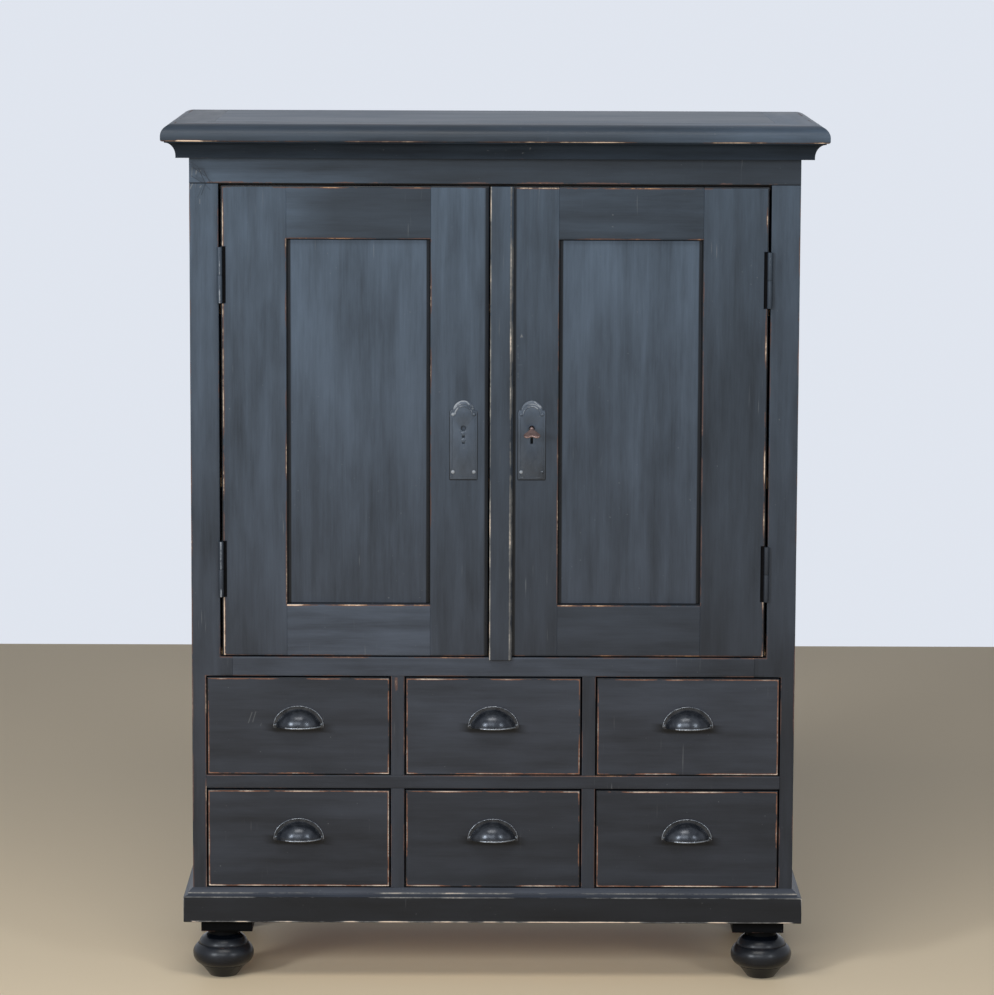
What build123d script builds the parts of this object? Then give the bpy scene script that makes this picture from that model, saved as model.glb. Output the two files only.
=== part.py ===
from build123d import *
import os

os.makedirs("parts", exist_ok=True)

# A floor-standing painted pine cupboard: two panelled doors above six drawers.
# Millimetres. X runs to the viewer's right, Y to the back, Z up from the floor.

# Case
case_width = 980.0
case_depth = 435.0
side_thickness = 22.5
frame_thickness = 22.5
back_thickness = 16.0
back_board_count = 6
back_board_gap = 0.8

# Heights of the front, from the floor up
foot_height = 80.0
foot_block_height = 22.0
bottom_rail_height = 55.5
lower_drawer_height = 165.0
drawer_rail_height = 22.0
upper_drawer_height = 164.0
middle_rail_height = 31.5
door_opening_height = 768.0
frieze_height = 42.0
cove_height = 27.0
top_thickness = 28.0

# Front frame
door_stile_width = 46.5
middle_rail_joint_inset = 66.0
centre_column_width = 289.0
divider_width = 22.0
drawer_rail_depth = 60.0

# Inside boards
floor_thickness = 18.0
floor_lip = 6.0
bottom_board_thickness = 18.0
partition_thickness = 18.0
shelf_thickness = 18.0
shelf_setback = 45.0
shelf_end_gap = 1.0
batten_size = 18.0
stop_strip_height = 30.0
stop_strip_depth = 18.0

# Top and mouldings, all measured out from the case's faces
top_overhang = 43.0
top_arris_overhang = 21.0
top_border_width = 60.0
top_lip_height = 9.0
top_lip_radius = 3.5
cove_overhang = 20.0
cove_reach = 17.0
cove_fillet_height = 3.0
cove_quirk = 2.0
plinth_overhang = 15.0
plinth_bevel_reach = 8.0
plinth_bevel_drop = 6.0
plinth_quirk = 3.0
plinth_ledge_drop = 2.5

# Feet and their blocks
block_size = 84.0
block_inset = 12.0
foot_inset = 46.5
rear_foot_inset = 54.0
foot_base_radius = 22.0
foot_step_radius = 37.5
foot_step_height = 19.5
foot_step_size = 1.5
foot_belly_radius = 50.0
foot_belly_height = 39.0
foot_shoulder_radius = 42.5
foot_shoulder_height = 53.5
foot_shoulder_step = 2.0
foot_swell_radius = 36.5
foot_swell_height = 63.0
foot_neck_radius = 25.0
foot_neck_height = 71.0
foot_tenon_radius = 12.5
foot_tenon_length = 34.0
tenon_clearance = 0.1

# Doors
hinge_gap = 4.0
door_top_gap = 3.0
door_bottom_gap = 2.5
door_seat_gap = 0.5
meeting_x = -7.0
meeting_gap = 2.0
panel_offset = 103.0
hinge_stile_width = 104.5
top_rail_width = 85.0
bottom_rail_width = 83.5
panel_recess = 9.0
panel_thickness = 7.0
tongue_thickness = 4.5
tongue_depth = 8.0
panel_quirk = 2.0
groove_clearance = 1.0
door_tenon_length = 45.0
door_tenon_shoulder = 12.0

# Cover strip on the right door
strip_width = 37.0
strip_thickness = 9.5
strip_drop = 5.5
strip_bead = 4.0

# Lift-off hinges
knuckle_radius = 4.0
hinge_height = 90.0
hinge_pin_radius = 2.2
pin_clearance = 0.1
leaf_thickness = 1.6
leaf_depth = 20.0
knuckle_gap = 0.6
hinge_from_top = 143.5
hinge_from_bottom = 141.5
right_hinge_drop = 6.0
notch_width = 10.0
notch_depth = 6.0
notch_margin = 1.0
strap_thickness = 2.5

# Key plates, locks and key
plate_width = 44.0
plate_height = 112.0
plate_arch_rise = 16.0
plate_arch_width = 34.0
plate_thickness = 1.5
plate_rise = 289.5
left_plate_offset = 40.7
right_plate_offset = 67.5
keyhole_height = 83.0
keyhole_rim = 1.5
keyhole_wood_gap = 0.5
keyhole_slot_width = 4.4
keyhole_slot_length = 25.0
blind_keyhole_depth = 12.0
lock_beyond_key = 19.5
lock_headroom = 6.0
lock_depth = 11.5
lock_wall = 1.5
lock_recess = 12.0
lock_below_key = 35.0
bolt_throw = 9.5
bolt_height = 16.0
bolt_thickness = 6.0
bolt_key_gap = 5.5
bolt_key_rise = 1.5
bolt_clearance = 0.6
bolt_face_inset = 0.5
key_stem_radius = 3.0
key_bit_radius = 11.5
key_bit_width = 6.5
key_bit_thickness = 2.5
key_collar_radius = 4.2
key_collar_length = 3.0
key_reach = 17.0
key_bow_width = 26.0
key_bow_length = 24.0
key_bow_thickness = 3.2
key_bow_rim = 4.6
key_droop = 10.0

# Barrel bolts inside the left door
barrel_offset = 46.0
barrel_rod_radius = 4.0
barrel_rod_length = 112.0
barrel_clearance = 0.3
barrel_plate_length = 100.0
barrel_plate_width = 26.0
barrel_plate_thickness = 2.0
barrel_guide_width = 15.0
barrel_guide_length = 12.0
barrel_guide_depth = 11.5
barrel_rod_standoff = 5.5
barrel_knob_radius = 5.0
barrel_knob_length = 13.0
barrel_end_gap = 1.5
barrel_hole_clearance = 1.2

# Drawers
drawer_side_gap = 2.0
drawer_top_gap = 2.5
drawer_bottom_gap = 1.0
drawer_front_thickness = 20.0
drawer_back_gap = 24.0
drawer_wall = 12.0
drawer_side_drop = 6.0
drawer_bottom_lift = 9.0
drawer_bottom_thickness = 7.0
runner_width = 18.0
runner_height = 20.0
stop_width = 40.0
stop_depth = 14.0
stop_height = 6.0

# Cup pulls, placed above the middle of each drawer front
pull_dome_width = 66.0
pull_dome_radius = 26.0
pull_dome_end = 6.0
pull_wall = 1.6
pull_flange_width = 83.0
pull_flange_rise = 34.0
pull_flange_drop = 3.0
pull_nail_spacing = 75.0
pull_nail_rise = 2.0
pull_rise = 0.5

# Nails
nail_head_radius = 3.0
nail_head_height = 1.8
nail_shank_radius = 1.2
nail_length = 12.0
nail_hole_clearance = 0.1
plate_nail_inset_x = 5.5
plate_nail_top_inset = 9.0
plate_nail_bottom_inset = 12.0

# Levels and planes worked out from the sizes above
case_bottom = foot_height + foot_block_height
lower_row_z = case_bottom + bottom_rail_height
drawer_rail_z = lower_row_z + lower_drawer_height
upper_row_z = drawer_rail_z + drawer_rail_height
middle_rail_z = upper_row_z + upper_drawer_height
door_opening_z = middle_rail_z + middle_rail_height
frieze_z = door_opening_z + door_opening_height
cove_z = frieze_z + frieze_height
case_top = cove_z + cove_height
overall_height = case_top + top_thickness
front = (top_overhang - case_depth) / 2
back = front + case_depth
half_width = case_width / 2
inner_half = half_width - side_thickness
frame_back = front + frame_thickness
back_inner = back - back_thickness
opening_half = half_width - door_stile_width
floor_top = door_opening_z + floor_lip
floor_underside = floor_top - floor_thickness
door_back = frame_back - door_seat_gap
door_bottom = door_opening_z + door_bottom_gap
door_top = frieze_z - door_top_gap
door_edge = opening_half - hinge_gap
panel_far = door_edge - hinge_stile_width
panel_bottom = door_bottom + bottom_rail_width
panel_top = door_top - top_rail_width
left_lock_edge = meeting_x - meeting_gap
hinge_x = opening_half - hinge_gap / 2
hinge_y = front - knuckle_radius
plate_bottom = door_bottom + plate_rise
left_plate_x = left_lock_edge - left_plate_offset
right_plate_x = meeting_x + right_plate_offset
barrel_x = left_lock_edge - barrel_offset
keyhole_z = plate_bottom + keyhole_height
plate_hole_radius = key_stem_radius + keyhole_rim
wood_hole_radius = plate_hole_radius + keyhole_wood_gap
half_centre = centre_column_width / 2

# Lock, worked out from the keyhole
lock_y = front + lock_recess
lock_back = lock_y + lock_depth
lock_x1 = right_plate_x + lock_beyond_key
bolt_x0 = meeting_x + bolt_face_inset
bolt_x1 = right_plate_x - key_bit_radius - bolt_key_gap
bolt_y0 = lock_y + lock_wall + bolt_clearance
bolt_y1 = bolt_y0 + bolt_thickness
bolt_z0 = keyhole_z + key_bit_radius + bolt_key_rise
bolt_z1 = bolt_z0 + bolt_height
lock_z0 = keyhole_z - lock_below_key
lock_z1 = bolt_z1 + lock_headroom


def block(x0, x1, y0, y1, z0, z1):
    corner = Pos((x0 + x1) / 2, (y0 + y1) / 2, (z0 + z1) / 2)
    return corner * Box(abs(x1 - x0), abs(y1 - y0), abs(z1 - z0))


def rod_y(x, y0, y1, z, radius):
    return Pos(x, (y0 + y1) / 2, z) * Rot(90, 0, 0) * Cylinder(radius, abs(y1 - y0))


def rod_z(x, y, z0, z1, radius):
    return Pos(x, y, (z0 + z1) / 2) * Cylinder(radius, z1 - z0)


def mirrored(shape):
    return mirror(shape, about=Plane.YZ)


def save(node, *solids):
    shape = solids[0] if len(solids) == 1 else Compound(children=list(solids))
    export_step(shape, f"parts/{node}.step")


def nail(x, y, z):
    # Domed head standing on the surface at y, shank going back into the wood.
    ball_radius = (nail_head_radius**2 + nail_head_height**2) / (2 * nail_head_height)
    ball = Pos(x, y - nail_head_height + ball_radius, z) * Sphere(ball_radius)
    wide = nail_head_radius + nail_head_height
    head = ball & block(x - wide, x + wide, y - 2 * nail_head_height, y, z - wide, z + wide)
    return head + rod_y(x, y - nail_head_height / 2, y + nail_length, z, nail_shank_radius)


def nail_hole(x, y, z):
    # The hole runs from just in front of the surface at y to past the nail's point.
    radius = nail_shank_radius + nail_hole_clearance
    return rod_y(x, y - 1, y + nail_length + 1, z, radius)


# Mouldings run round the front and both sides, with mitred front corners.
def mitred_runs(outline, inner, outer):
    section = make_face(outline)
    long_way = case_width + case_depth
    front_plane = Plane(origin=(0, front, 0), x_dir=(0, -1, 0), z_dir=(-1, 0, 0))
    side_plane = Plane(origin=(half_width, 0, 0), x_dir=(1, 0, 0), z_dir=(0, -1, 0))
    front_bar = extrude(front_plane * section, amount=long_way, both=True)
    side_bar = extrude(side_plane * section, amount=long_way, both=True)
    near = (half_width + inner, front - inner)
    far = (half_width + outer, front - outer)
    front_area = Polyline(near, far, (-far[0], far[1]), (-near[0], near[1]), close=True)
    side_area = Polyline(near, far, (far[0], back), (near[0], back), close=True)
    front_run = front_bar & extrude(make_face(front_area), amount=overall_height)
    right_run = side_bar & extrude(make_face(side_area), amount=overall_height)
    return front_run, mirrored(right_run), right_run


def top_moulding():
    inner = top_arris_overhang - top_border_width
    lip_top = case_top + top_lip_height
    arris = (top_arris_overhang, overall_height)
    nose = (top_overhang, lip_top)
    lip = (top_overhang, case_top + top_lip_radius)
    under = (top_overhang - top_lip_radius, case_top)
    outline = [
        Line((inner, case_top), (inner, overall_height)),
        Line((inner, overall_height), arris),
        EllipticalCenterArc(
            (top_arris_overhang, lip_top),
            top_overhang - top_arris_overhang,
            top_thickness - top_lip_height,
            arc_size=90,
        ),
        Line(nose, lip),
        RadiusArc(lip, under, top_lip_radius),
        Line(under, (inner, case_top)),
    ]
    return mitred_runs(outline, inner, top_overhang)


def cove_moulding():
    face_top = case_top - cove_quirk
    springing = (cove_overhang, cove_z + cove_fillet_height)
    cove_end = (cove_overhang + cove_reach, face_top)
    outline = [
        Line((0, case_top), (0, cove_z)),
        Line((0, cove_z), (cove_overhang, cove_z)),
        Line((cove_overhang, cove_z), springing),
        EllipticalCenterArc(
            (cove_end[0], springing[1]),
            cove_reach,
            face_top - springing[1],
            start_angle=90,
            arc_size=90,
        ),
        Line(cove_end, (cove_end[0], case_top)),
        Line((cove_end[0], case_top), (0, case_top)),
    ]
    return mitred_runs(outline, 0, cove_overhang + cove_reach)


def plinth_moulding():
    bevel_end = lower_row_z - plinth_bevel_drop
    ledge = bevel_end - plinth_quirk
    outline = Polyline(
        (0, case_bottom),
        (0, lower_row_z),
        (plinth_bevel_reach, bevel_end),
        (plinth_bevel_reach, ledge),
        (plinth_overhang, ledge - plinth_ledge_drop),
        (plinth_overhang, case_bottom),
        close=True,
    )
    return mitred_runs(outline, 0, plinth_overhang)


def back_boards():
    width = 2 * inner_half / back_board_count
    boards = []
    for i in range(back_board_count):
        x = -inner_half + i * width
        left = x + (back_board_gap / 2 if i else 0)
        right = x + width - (back_board_gap / 2 if i < back_board_count - 1 else 0)
        boards.append(block(left, right, back_inner, back, case_bottom, case_top))
    return boards


def frame_stile():
    # Left stile: narrow beside the drawers, a foot under the door opening, wide beside the door.
    lower = block(-half_width, -inner_half, front, frame_back, case_bottom, middle_rail_z)
    joint = -half_width + middle_rail_joint_inset
    foot = block(-half_width, joint, front, frame_back, middle_rail_z, door_opening_z)
    upper = block(-half_width, -opening_half, front, frame_back, door_opening_z, frieze_z)
    return lower + foot + upper


def feet_places():
    x = half_width - foot_inset
    return [(sx * x, y) for sx in (-1, 1) for y in (front + foot_inset, back - rear_foot_inset)]


def foot(x, y):
    belly_start = (foot_step_radius, foot_step_height)
    ring = (foot_step_radius - foot_step_size, foot_step_height - foot_step_size)
    belly_end = (foot_shoulder_radius, foot_shoulder_height)
    shoulder = (foot_shoulder_radius - foot_shoulder_step, foot_shoulder_height + 1)
    neck = (foot_neck_radius, foot_neck_height)
    tenon_top = foot_height + foot_tenon_length
    outline = [
        Line((0, 0), (foot_base_radius, 0)),
        Line((foot_base_radius, 0), ring),
        Line(ring, belly_start),
        ThreePointArc(belly_start, (foot_belly_radius, foot_belly_height), belly_end),
        Line(belly_end, shoulder),
        ThreePointArc(shoulder, (foot_swell_radius, foot_swell_height), neck),
        Line(neck, (foot_neck_radius, foot_height)),
        Line((foot_neck_radius, foot_height), (foot_tenon_radius, foot_height)),
        Line((foot_tenon_radius, foot_height), (foot_tenon_radius, tenon_top)),
        Line((foot_tenon_radius, tenon_top), (0, tenon_top)),
        Line((0, tenon_top), (0, 0)),
    ]
    return Pos(x, y, 0) * revolve(Plane.XZ * make_face(outline), axis=Axis.Z)


def foot_block(x, y):
    # The square block shows under the plinth, and a smaller part fills the case's corner.
    side = 1 if x > 0 else -1
    outer_x = side * (half_width - block_inset)
    inner_x = outer_x - side * block_size
    board_underside = lower_row_z - bottom_board_thickness
    if y < 0:
        y0 = front + block_inset
        y1 = y0 + block_size
        corner_y0, corner_y1 = frame_back, y1
    else:
        y1 = back - block_inset
        y0 = y1 - block_size
        corner_y0, corner_y1 = y0, back_inner
    square = block(inner_x, outer_x, y0, y1, foot_height, case_bottom)
    corner = block(
        inner_x, side * inner_half, corner_y0, corner_y1, case_bottom, board_underside
    )
    tenon_hole = rod_z(
        x,
        y,
        foot_height,
        foot_height + foot_tenon_length + tenon_clearance,
        foot_tenon_radius + tenon_clearance,
    )
    return square + corner - tenon_hole


# Drawer openings: left, middle and right columns in the lower and upper rows.
columns = {
    "left": (-inner_half, -half_centre - divider_width),
    "middle": (-half_centre, half_centre),
    "right": (half_centre + divider_width, inner_half),
}
rows = {
    "lower": (lower_row_z, drawer_rail_z),
    "upper": (upper_row_z, middle_rail_z),
}
divider_x = half_centre + divider_width / 2
rail_back = front + drawer_rail_depth


def drawer_dividers():
    posts = []
    for z0, z1 in rows.values():
        for x in (-divider_x, divider_x):
            left, right = x - divider_width / 2, x + divider_width / 2
            posts.append(block(left, right, front, rail_back, z0, z1))
    return posts


def drawer_partitions():
    boards = []
    for x in (-divider_x, divider_x):
        left, right = x - partition_thickness / 2, x + partition_thickness / 2
        boards.append(block(left, right, rail_back, back_inner, lower_row_z, floor_underside))
    return boards


def drawer_runners():
    # A runner stands on each side of each column, and carries the upper drawers.
    wall = divider_x - partition_thickness / 2
    far_wall = divider_x + partition_thickness / 2
    starts = [
        (-inner_half, 1),
        (-far_wall, -1),
        (-wall, 1),
        (wall, -1),
        (far_wall, 1),
        (inner_half, -1),
    ]
    runners = []
    for x, way in starts:
        end = x + way * runner_width
        top = upper_row_z
        runners.append(
            block(min(x, end), max(x, end), rail_back, back_inner, top - runner_height, top)
        )
    return runners


def drawer_stops():
    # Small blocks on the rail and on the bottom board, behind each drawer front.
    blocks = []
    y0 = front + drawer_front_thickness
    for z0, _ in rows.values():
        for x0, x1 in columns.values():
            x = (x0 + x1) / 2
            half = stop_width / 2
            low = max(y0, frame_back) if z0 == lower_row_z else y0
            blocks.append(block(x - half, x + half, low, low + stop_depth, z0, z0 + stop_height))
    return blocks


def shelf_levels():
    clear = (case_top - floor_top - 2 * shelf_thickness) / 3
    first = floor_top + clear
    return first, first + shelf_thickness + clear


def shelves():
    x = inner_half - shelf_end_gap
    y0 = front + shelf_setback
    return [block(-x, x, y0, back_inner, z, z + shelf_thickness) for z in shelf_levels()]


def cupboard_battens():
    # Two battens carry each shelf, and a strip behind the frieze rail stops both doors.
    battens = []
    y0 = front + shelf_setback
    for z in shelf_levels():
        for side in (-1, 1):
            wall = side * inner_half
            battens.append(
                block(wall, wall - side * batten_size, y0, back_inner, z - batten_size, z)
            )
    strip_z = door_top - floor_lip
    strip = block(
        -inner_half,
        inner_half,
        frame_back,
        frame_back + stop_strip_depth,
        strip_z,
        strip_z + stop_strip_height,
    )
    battens.append(strip - barrel_hole(strip_z - 1, strip_z + stop_strip_height + 1))
    return battens


def barrel_hole(z0, z1):
    return rod_z(barrel_x, barrel_y, z0, z1, barrel_rod_radius + barrel_hole_clearance)


def cupboard_floor():
    board = block(-inner_half, inner_half, frame_back, back_inner, floor_underside, floor_top)
    return board - barrel_hole(floor_underside - 1, floor_top + 1)


# Doors. The side is -1 for the left door and 1 for the right one.
def lock_edge(side):
    return meeting_x if side > 0 else left_lock_edge


def door_rails(side):
    x0, x1 = side * panel_offset, side * panel_far
    y0, y1 = front + panel_recess, front + panel_recess + panel_thickness
    rails = []
    for z0, z1 in ((door_bottom, panel_bottom), (panel_top, door_top)):
        rail = block(x0, x1, front, door_back, z0, z1)
        low, high = z0 + door_tenon_shoulder, z1 - door_tenon_shoulder
        tenon_x0 = x0 - side * door_tenon_length
        tenon_x1 = x1 + side * door_tenon_length
        rail += block(tenon_x0, tenon_x1, y0, y1, low, high)
        rails.append(rail - panel_room(side))
    return rails


def tenon_room(side):
    rooms = []
    for z0, z1 in ((door_bottom, panel_bottom), (panel_top, door_top)):
        rooms.append(
            block(
                side * (panel_offset - door_tenon_length - groove_clearance),
                side * (panel_far + door_tenon_length + groove_clearance),
                front + panel_recess,
                front + panel_recess + panel_thickness,
                z0 + door_tenon_shoulder,
                z1 - door_tenon_shoulder,
            )
        )
    return rooms


def panel_room(side):
    # The groove that the panel's tongue sits in, a little deeper than the tongue.
    depth = tongue_depth + groove_clearance
    tongue_back = front + panel_recess + panel_thickness
    return block(
        side * (panel_offset - depth),
        side * (panel_far + depth),
        tongue_back - tongue_thickness,
        tongue_back,
        panel_bottom - depth,
        panel_top + depth,
    )


def door_panel(side):
    panel_back = front + panel_recess + panel_thickness
    field = block(
        side * (panel_offset + panel_quirk),
        side * (panel_far - panel_quirk),
        front + panel_recess,
        panel_back,
        panel_bottom + panel_quirk,
        panel_top - panel_quirk,
    )
    tongue = block(
        side * (panel_offset - tongue_depth),
        side * (panel_far + tongue_depth),
        panel_back - tongue_thickness,
        panel_back,
        panel_bottom - tongue_depth,
        panel_top + tongue_depth,
    )
    return field + tongue


def hinge_centres(side):
    drop = right_hinge_drop if side > 0 else 0
    return door_top - hinge_from_top - drop, door_bottom + hinge_from_bottom - drop


def hinge_stile(side):
    stile = block(side * panel_far, side * door_edge, front, door_back, door_bottom, door_top)
    stile -= panel_room(side)
    for room in tenon_room(side):
        stile -= room
    for z in hinge_centres(side):
        half = hinge_height / 2 + notch_margin
        stile -= block(
            side * (door_edge - notch_width),
            side * (door_edge + 1),
            front - 1,
            front + notch_depth,
            z - half,
            z + half,
        )
    return stile


def keyhole(x, y0, y1, radius, slot_width):
    slot = block(
        x - slot_width / 2, x + slot_width / 2, y0, y1, keyhole_z - keyhole_slot_length, keyhole_z
    )
    return rod_y(x, y0, y1, keyhole_z, radius) + slot


def plate_nail_places(x):
    half = plate_width / 2 - plate_nail_inset_x
    top = plate_bottom + plate_height - plate_nail_top_inset
    bottom = plate_bottom + plate_nail_bottom_inset
    return [(x + s * half, z) for s in (-1, 1) for z in (bottom, top)]


def plate_nail_holes(x):
    holes = [nail_hole(px, front - plate_thickness, pz) for px, pz in plate_nail_places(x)]
    return holes[0] + holes[1:]


def left_lock_stile():
    stile = block(-panel_offset, left_lock_edge, front, door_back, door_bottom, door_top)
    stile -= panel_room(-1)
    for room in tenon_room(-1):
        stile -= room
    stile -= keyhole(
        left_plate_x, front - 1, front + blind_keyhole_depth, wood_hole_radius, keyhole_slot_width
    )
    stile -= block(
        left_lock_edge - bolt_throw - bolt_clearance,
        left_lock_edge + 1,
        bolt_y0 - bolt_clearance,
        bolt_y1 + bolt_clearance,
        bolt_z0 - bolt_clearance,
        bolt_z1 + bolt_clearance,
    )
    return stile - plate_nail_holes(left_plate_x)


def right_lock_stile():
    stile = block(meeting_x, panel_offset, front, door_back, door_bottom, door_top)
    stile -= panel_room(1)
    for room in tenon_room(1):
        stile -= room
    stile -= keyhole(right_plate_x, front - 1, lock_y + 1, wood_hole_radius, keyhole_slot_width)
    stile -= block(meeting_x - 1, lock_x1, lock_y, door_back + 1, lock_z0, lock_z1)
    return stile - plate_nail_holes(right_plate_x)


def cover_strip():
    strip = block(
        meeting_x,
        meeting_x + strip_width,
        front - strip_thickness,
        front,
        door_bottom - strip_drop,
        door_top,
    )
    bead_edge = strip.edges().filter_by(Axis.Z).group_by(Axis.Y)[0].sort_by(Axis.X)[-1]
    return chamfer(bead_edge, strip_bead)


def key_plate(x):
    sheet = Plane.XZ * (
        Pos(x, plate_bottom + plate_height / 2) * Rectangle(plate_width, plate_height)
    )
    shoulder = plate_bottom + plate_height
    half = plate_arch_width / 2
    arch = make_face(
        [
            ThreePointArc(
                (x - half, shoulder), (x, shoulder + plate_arch_rise), (x + half, shoulder)
            ),
            Line((x + half, shoulder), (x - half, shoulder)),
        ]
    )
    plate = extrude(sheet + Plane.XZ * arch, amount=plate_thickness)
    plate = Pos(0, front, 0) * plate
    y0 = front - plate_thickness - 1
    plate -= keyhole(x, y0, front + 1, plate_hole_radius, keyhole_slot_width)
    pieces = [plate - plate_nail_holes(x)]
    for px, pz in plate_nail_places(x):
        pieces.append(nail(px, front - plate_thickness, pz))
    return pieces


# Hinge halves: the pin stands on the frame's lower half, and the door's half lifts off it.
def hinge_frame_half(side, z):
    low, middle = z - hinge_height / 2, z
    knuckle = rod_z(side * hinge_x, hinge_y, low, middle - knuckle_gap / 2, knuckle_radius)
    pin_top = z + hinge_height / 2 - knuckle_radius
    pin = rod_z(side * hinge_x, hinge_y, low, pin_top, hinge_pin_radius)
    leaf = block(
        side * opening_half,
        side * (opening_half - leaf_thickness),
        hinge_y,
        front + leaf_depth,
        low,
        middle - knuckle_gap / 2,
    )
    return knuckle + pin + leaf


def hinge_door_half(side, z):
    middle, high = z, z + hinge_height / 2
    low = middle + knuckle_gap / 2
    knuckle = rod_z(side * hinge_x, hinge_y, low, high, knuckle_radius)
    leaf = block(
        side * door_edge,
        side * (door_edge + leaf_thickness),
        hinge_y,
        front + leaf_depth,
        low,
        high,
    )
    strap = block(
        side * (door_edge - notch_width),
        side * (door_edge + leaf_thickness),
        front + notch_depth - strap_thickness,
        front + notch_depth,
        z - hinge_height / 2,
        high,
    )
    bore = rod_z(
        side * hinge_x,
        hinge_y,
        low - 1,
        high - knuckle_radius + knuckle_gap,
        hinge_pin_radius + pin_clearance,
    )
    return knuckle + leaf + strap - bore


# Lock: a box let into the back of the right door's lock stile.
def lock_case():
    shell = block(meeting_x, lock_x1, lock_y, lock_back, lock_z0, lock_z1)
    shell -= block(
        meeting_x + lock_wall,
        lock_x1 - lock_wall,
        lock_y + lock_wall,
        lock_back - lock_wall,
        lock_z0 + lock_wall,
        lock_z1 - lock_wall,
    )
    shell -= block(
        meeting_x - 1,
        meeting_x + lock_wall + 1,
        bolt_y0 - bolt_clearance,
        bolt_y1 + bolt_clearance,
        bolt_z0 - bolt_clearance,
        bolt_z1 + bolt_clearance,
    )
    radius = key_stem_radius + bolt_clearance
    return shell - keyhole(
        right_plate_x, lock_y - 1, lock_y + lock_wall + 1, radius, keyhole_slot_width
    )


def lock_bolt():
    return block(bolt_x0, bolt_x1, bolt_y0, bolt_y1, bolt_z0, bolt_z1)


def door_key():
    # Stem along Y, bit inside the lock, and a bow that lies level and droops a little.
    stem_front = front - key_reach
    bit_y0 = lock_y + lock_wall + bolt_clearance
    x, z = right_plate_x, keyhole_z
    stem = rod_y(x, stem_front, bit_y0 + key_bit_width, z, key_stem_radius)
    collar_y = front - plate_thickness - key_collar_length
    collar = rod_y(x, collar_y - key_collar_length, collar_y, z, key_collar_radius)
    half = key_bit_thickness / 2
    bit = block(x, x + key_bit_radius, bit_y0, bit_y0 + key_bit_width, z - half, z + half)
    hole = Ellipse(key_bow_width / 2 - key_bow_rim, key_bow_length / 2 - key_bow_rim)
    ring = Ellipse(key_bow_width / 2, key_bow_length / 2) - hole
    bow = extrude(ring, amount=key_bow_thickness / 2, both=True)
    bow = Rot(key_droop, 0, 0) * Pos(0, -key_bow_length / 2, 0) * bow
    return stem + collar + bit + Pos(x, stem_front + key_bow_rim / 2, z) * bow


# Barrel bolts on the back of the left door, one at each end.
barrel_y = door_back + barrel_plate_thickness + barrel_rod_standoff


def barrel_span(end):
    # Where the bolt's tip and plate are: end is 1 for the upper bolt and -1 for the lower one.
    if end > 0:
        tip = door_top - floor_lip - barrel_end_gap
    else:
        tip = floor_top + barrel_end_gap
    return tip, tip - end * barrel_plate_length


def barrel_plate(end):
    tip, far = barrel_span(end)
    half = barrel_plate_width / 2
    plate_back = door_back + barrel_plate_thickness
    plate = block(
        barrel_x - half, barrel_x + half, door_back, plate_back, min(tip, far), max(tip, far)
    )
    guide_half = barrel_guide_width / 2
    for z in (tip, far + end * barrel_guide_length):
        plate += block(
            barrel_x - guide_half,
            barrel_x + guide_half,
            door_back,
            plate_back + barrel_guide_depth,
            min(z, z - end * barrel_guide_length),
            max(z, z - end * barrel_guide_length),
        )
    low, high = min(tip, far) - 1, max(tip, far) + 1
    return plate - rod_z(barrel_x, barrel_y, low, high, barrel_rod_radius + barrel_clearance)


def barrel_bolt(end):
    tip, far = barrel_span(end)
    tail = tip - end * barrel_rod_length
    bolt = rod_z(barrel_x, barrel_y, min(tip, tail), max(tip, tail), barrel_rod_radius)
    z = (tip + far) / 2
    return bolt + rod_y(barrel_x, barrel_y, barrel_y + barrel_knob_length, z, barrel_knob_radius)


# Drawers: a front board, and a box of two sides, a back and a bottom.
def drawer_extent(column, row):
    x0, x1 = columns[column]
    z0, z1 = rows[row]
    return x0 + drawer_side_gap, x1 - drawer_side_gap, z0, z1 - drawer_top_gap


def pull_place(column, row):
    x0, x1, z0, z1 = drawer_extent(column, row)
    return (x0 + x1) / 2, (z0 + z1) / 2 + pull_rise


def drawer_front(column, row):
    x0, x1, z0, z1 = drawer_extent(column, row)
    board = block(x0, x1, front, front + drawer_front_thickness, z0 + drawer_bottom_gap, z1)
    x, z = pull_place(column, row)
    for s in (-1, 1):
        board -= nail_hole(x + s * pull_nail_spacing / 2, front - pull_wall, z + pull_nail_rise)
    return board


def drawer_box(column, row):
    x0, x1, z0, z1 = drawer_extent(column, row)
    y0, y1 = front + drawer_front_thickness, back_inner - drawer_back_gap
    top = z1 - drawer_side_drop
    bottom_z = z0 + drawer_bottom_lift
    bottom_top = bottom_z + drawer_bottom_thickness
    return [
        block(x0, x0 + drawer_wall, y0, y1, z0, top),
        block(x1 - drawer_wall, x1, y0, y1, z0, top),
        block(x0 + drawer_wall, x1 - drawer_wall, y1 - drawer_wall, y1, bottom_top, top),
        block(x0 + drawer_wall, x1 - drawer_wall, y0, y1, bottom_z, bottom_top),
    ]


def cup_dome():
    # The wall's section in the plane of the lip, turned a quarter turn up to the drawer front.
    half, radius = pull_dome_width / 2, pull_dome_radius
    inner, end = half - pull_wall, pull_dome_end
    outline = [
        Line((-half, 0), (-half, -end)),
        ThreePointArc((-half, -end), (0, -radius), (half, -end)),
        Line((half, -end), (half, 0)),
        Line((half, 0), (inner, 0)),
        Line((inner, 0), (inner, -end)),
        ThreePointArc((inner, -end), (0, pull_wall - radius), (-inner, -end)),
        Line((-inner, -end), (-inner, 0)),
        Line((-inner, 0), (-half, 0)),
    ]
    turning_axis = Axis((0, 0, 0), (-1, 0, 0))
    return revolve(make_face(outline), axis=turning_axis, revolution_arc=90)


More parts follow.
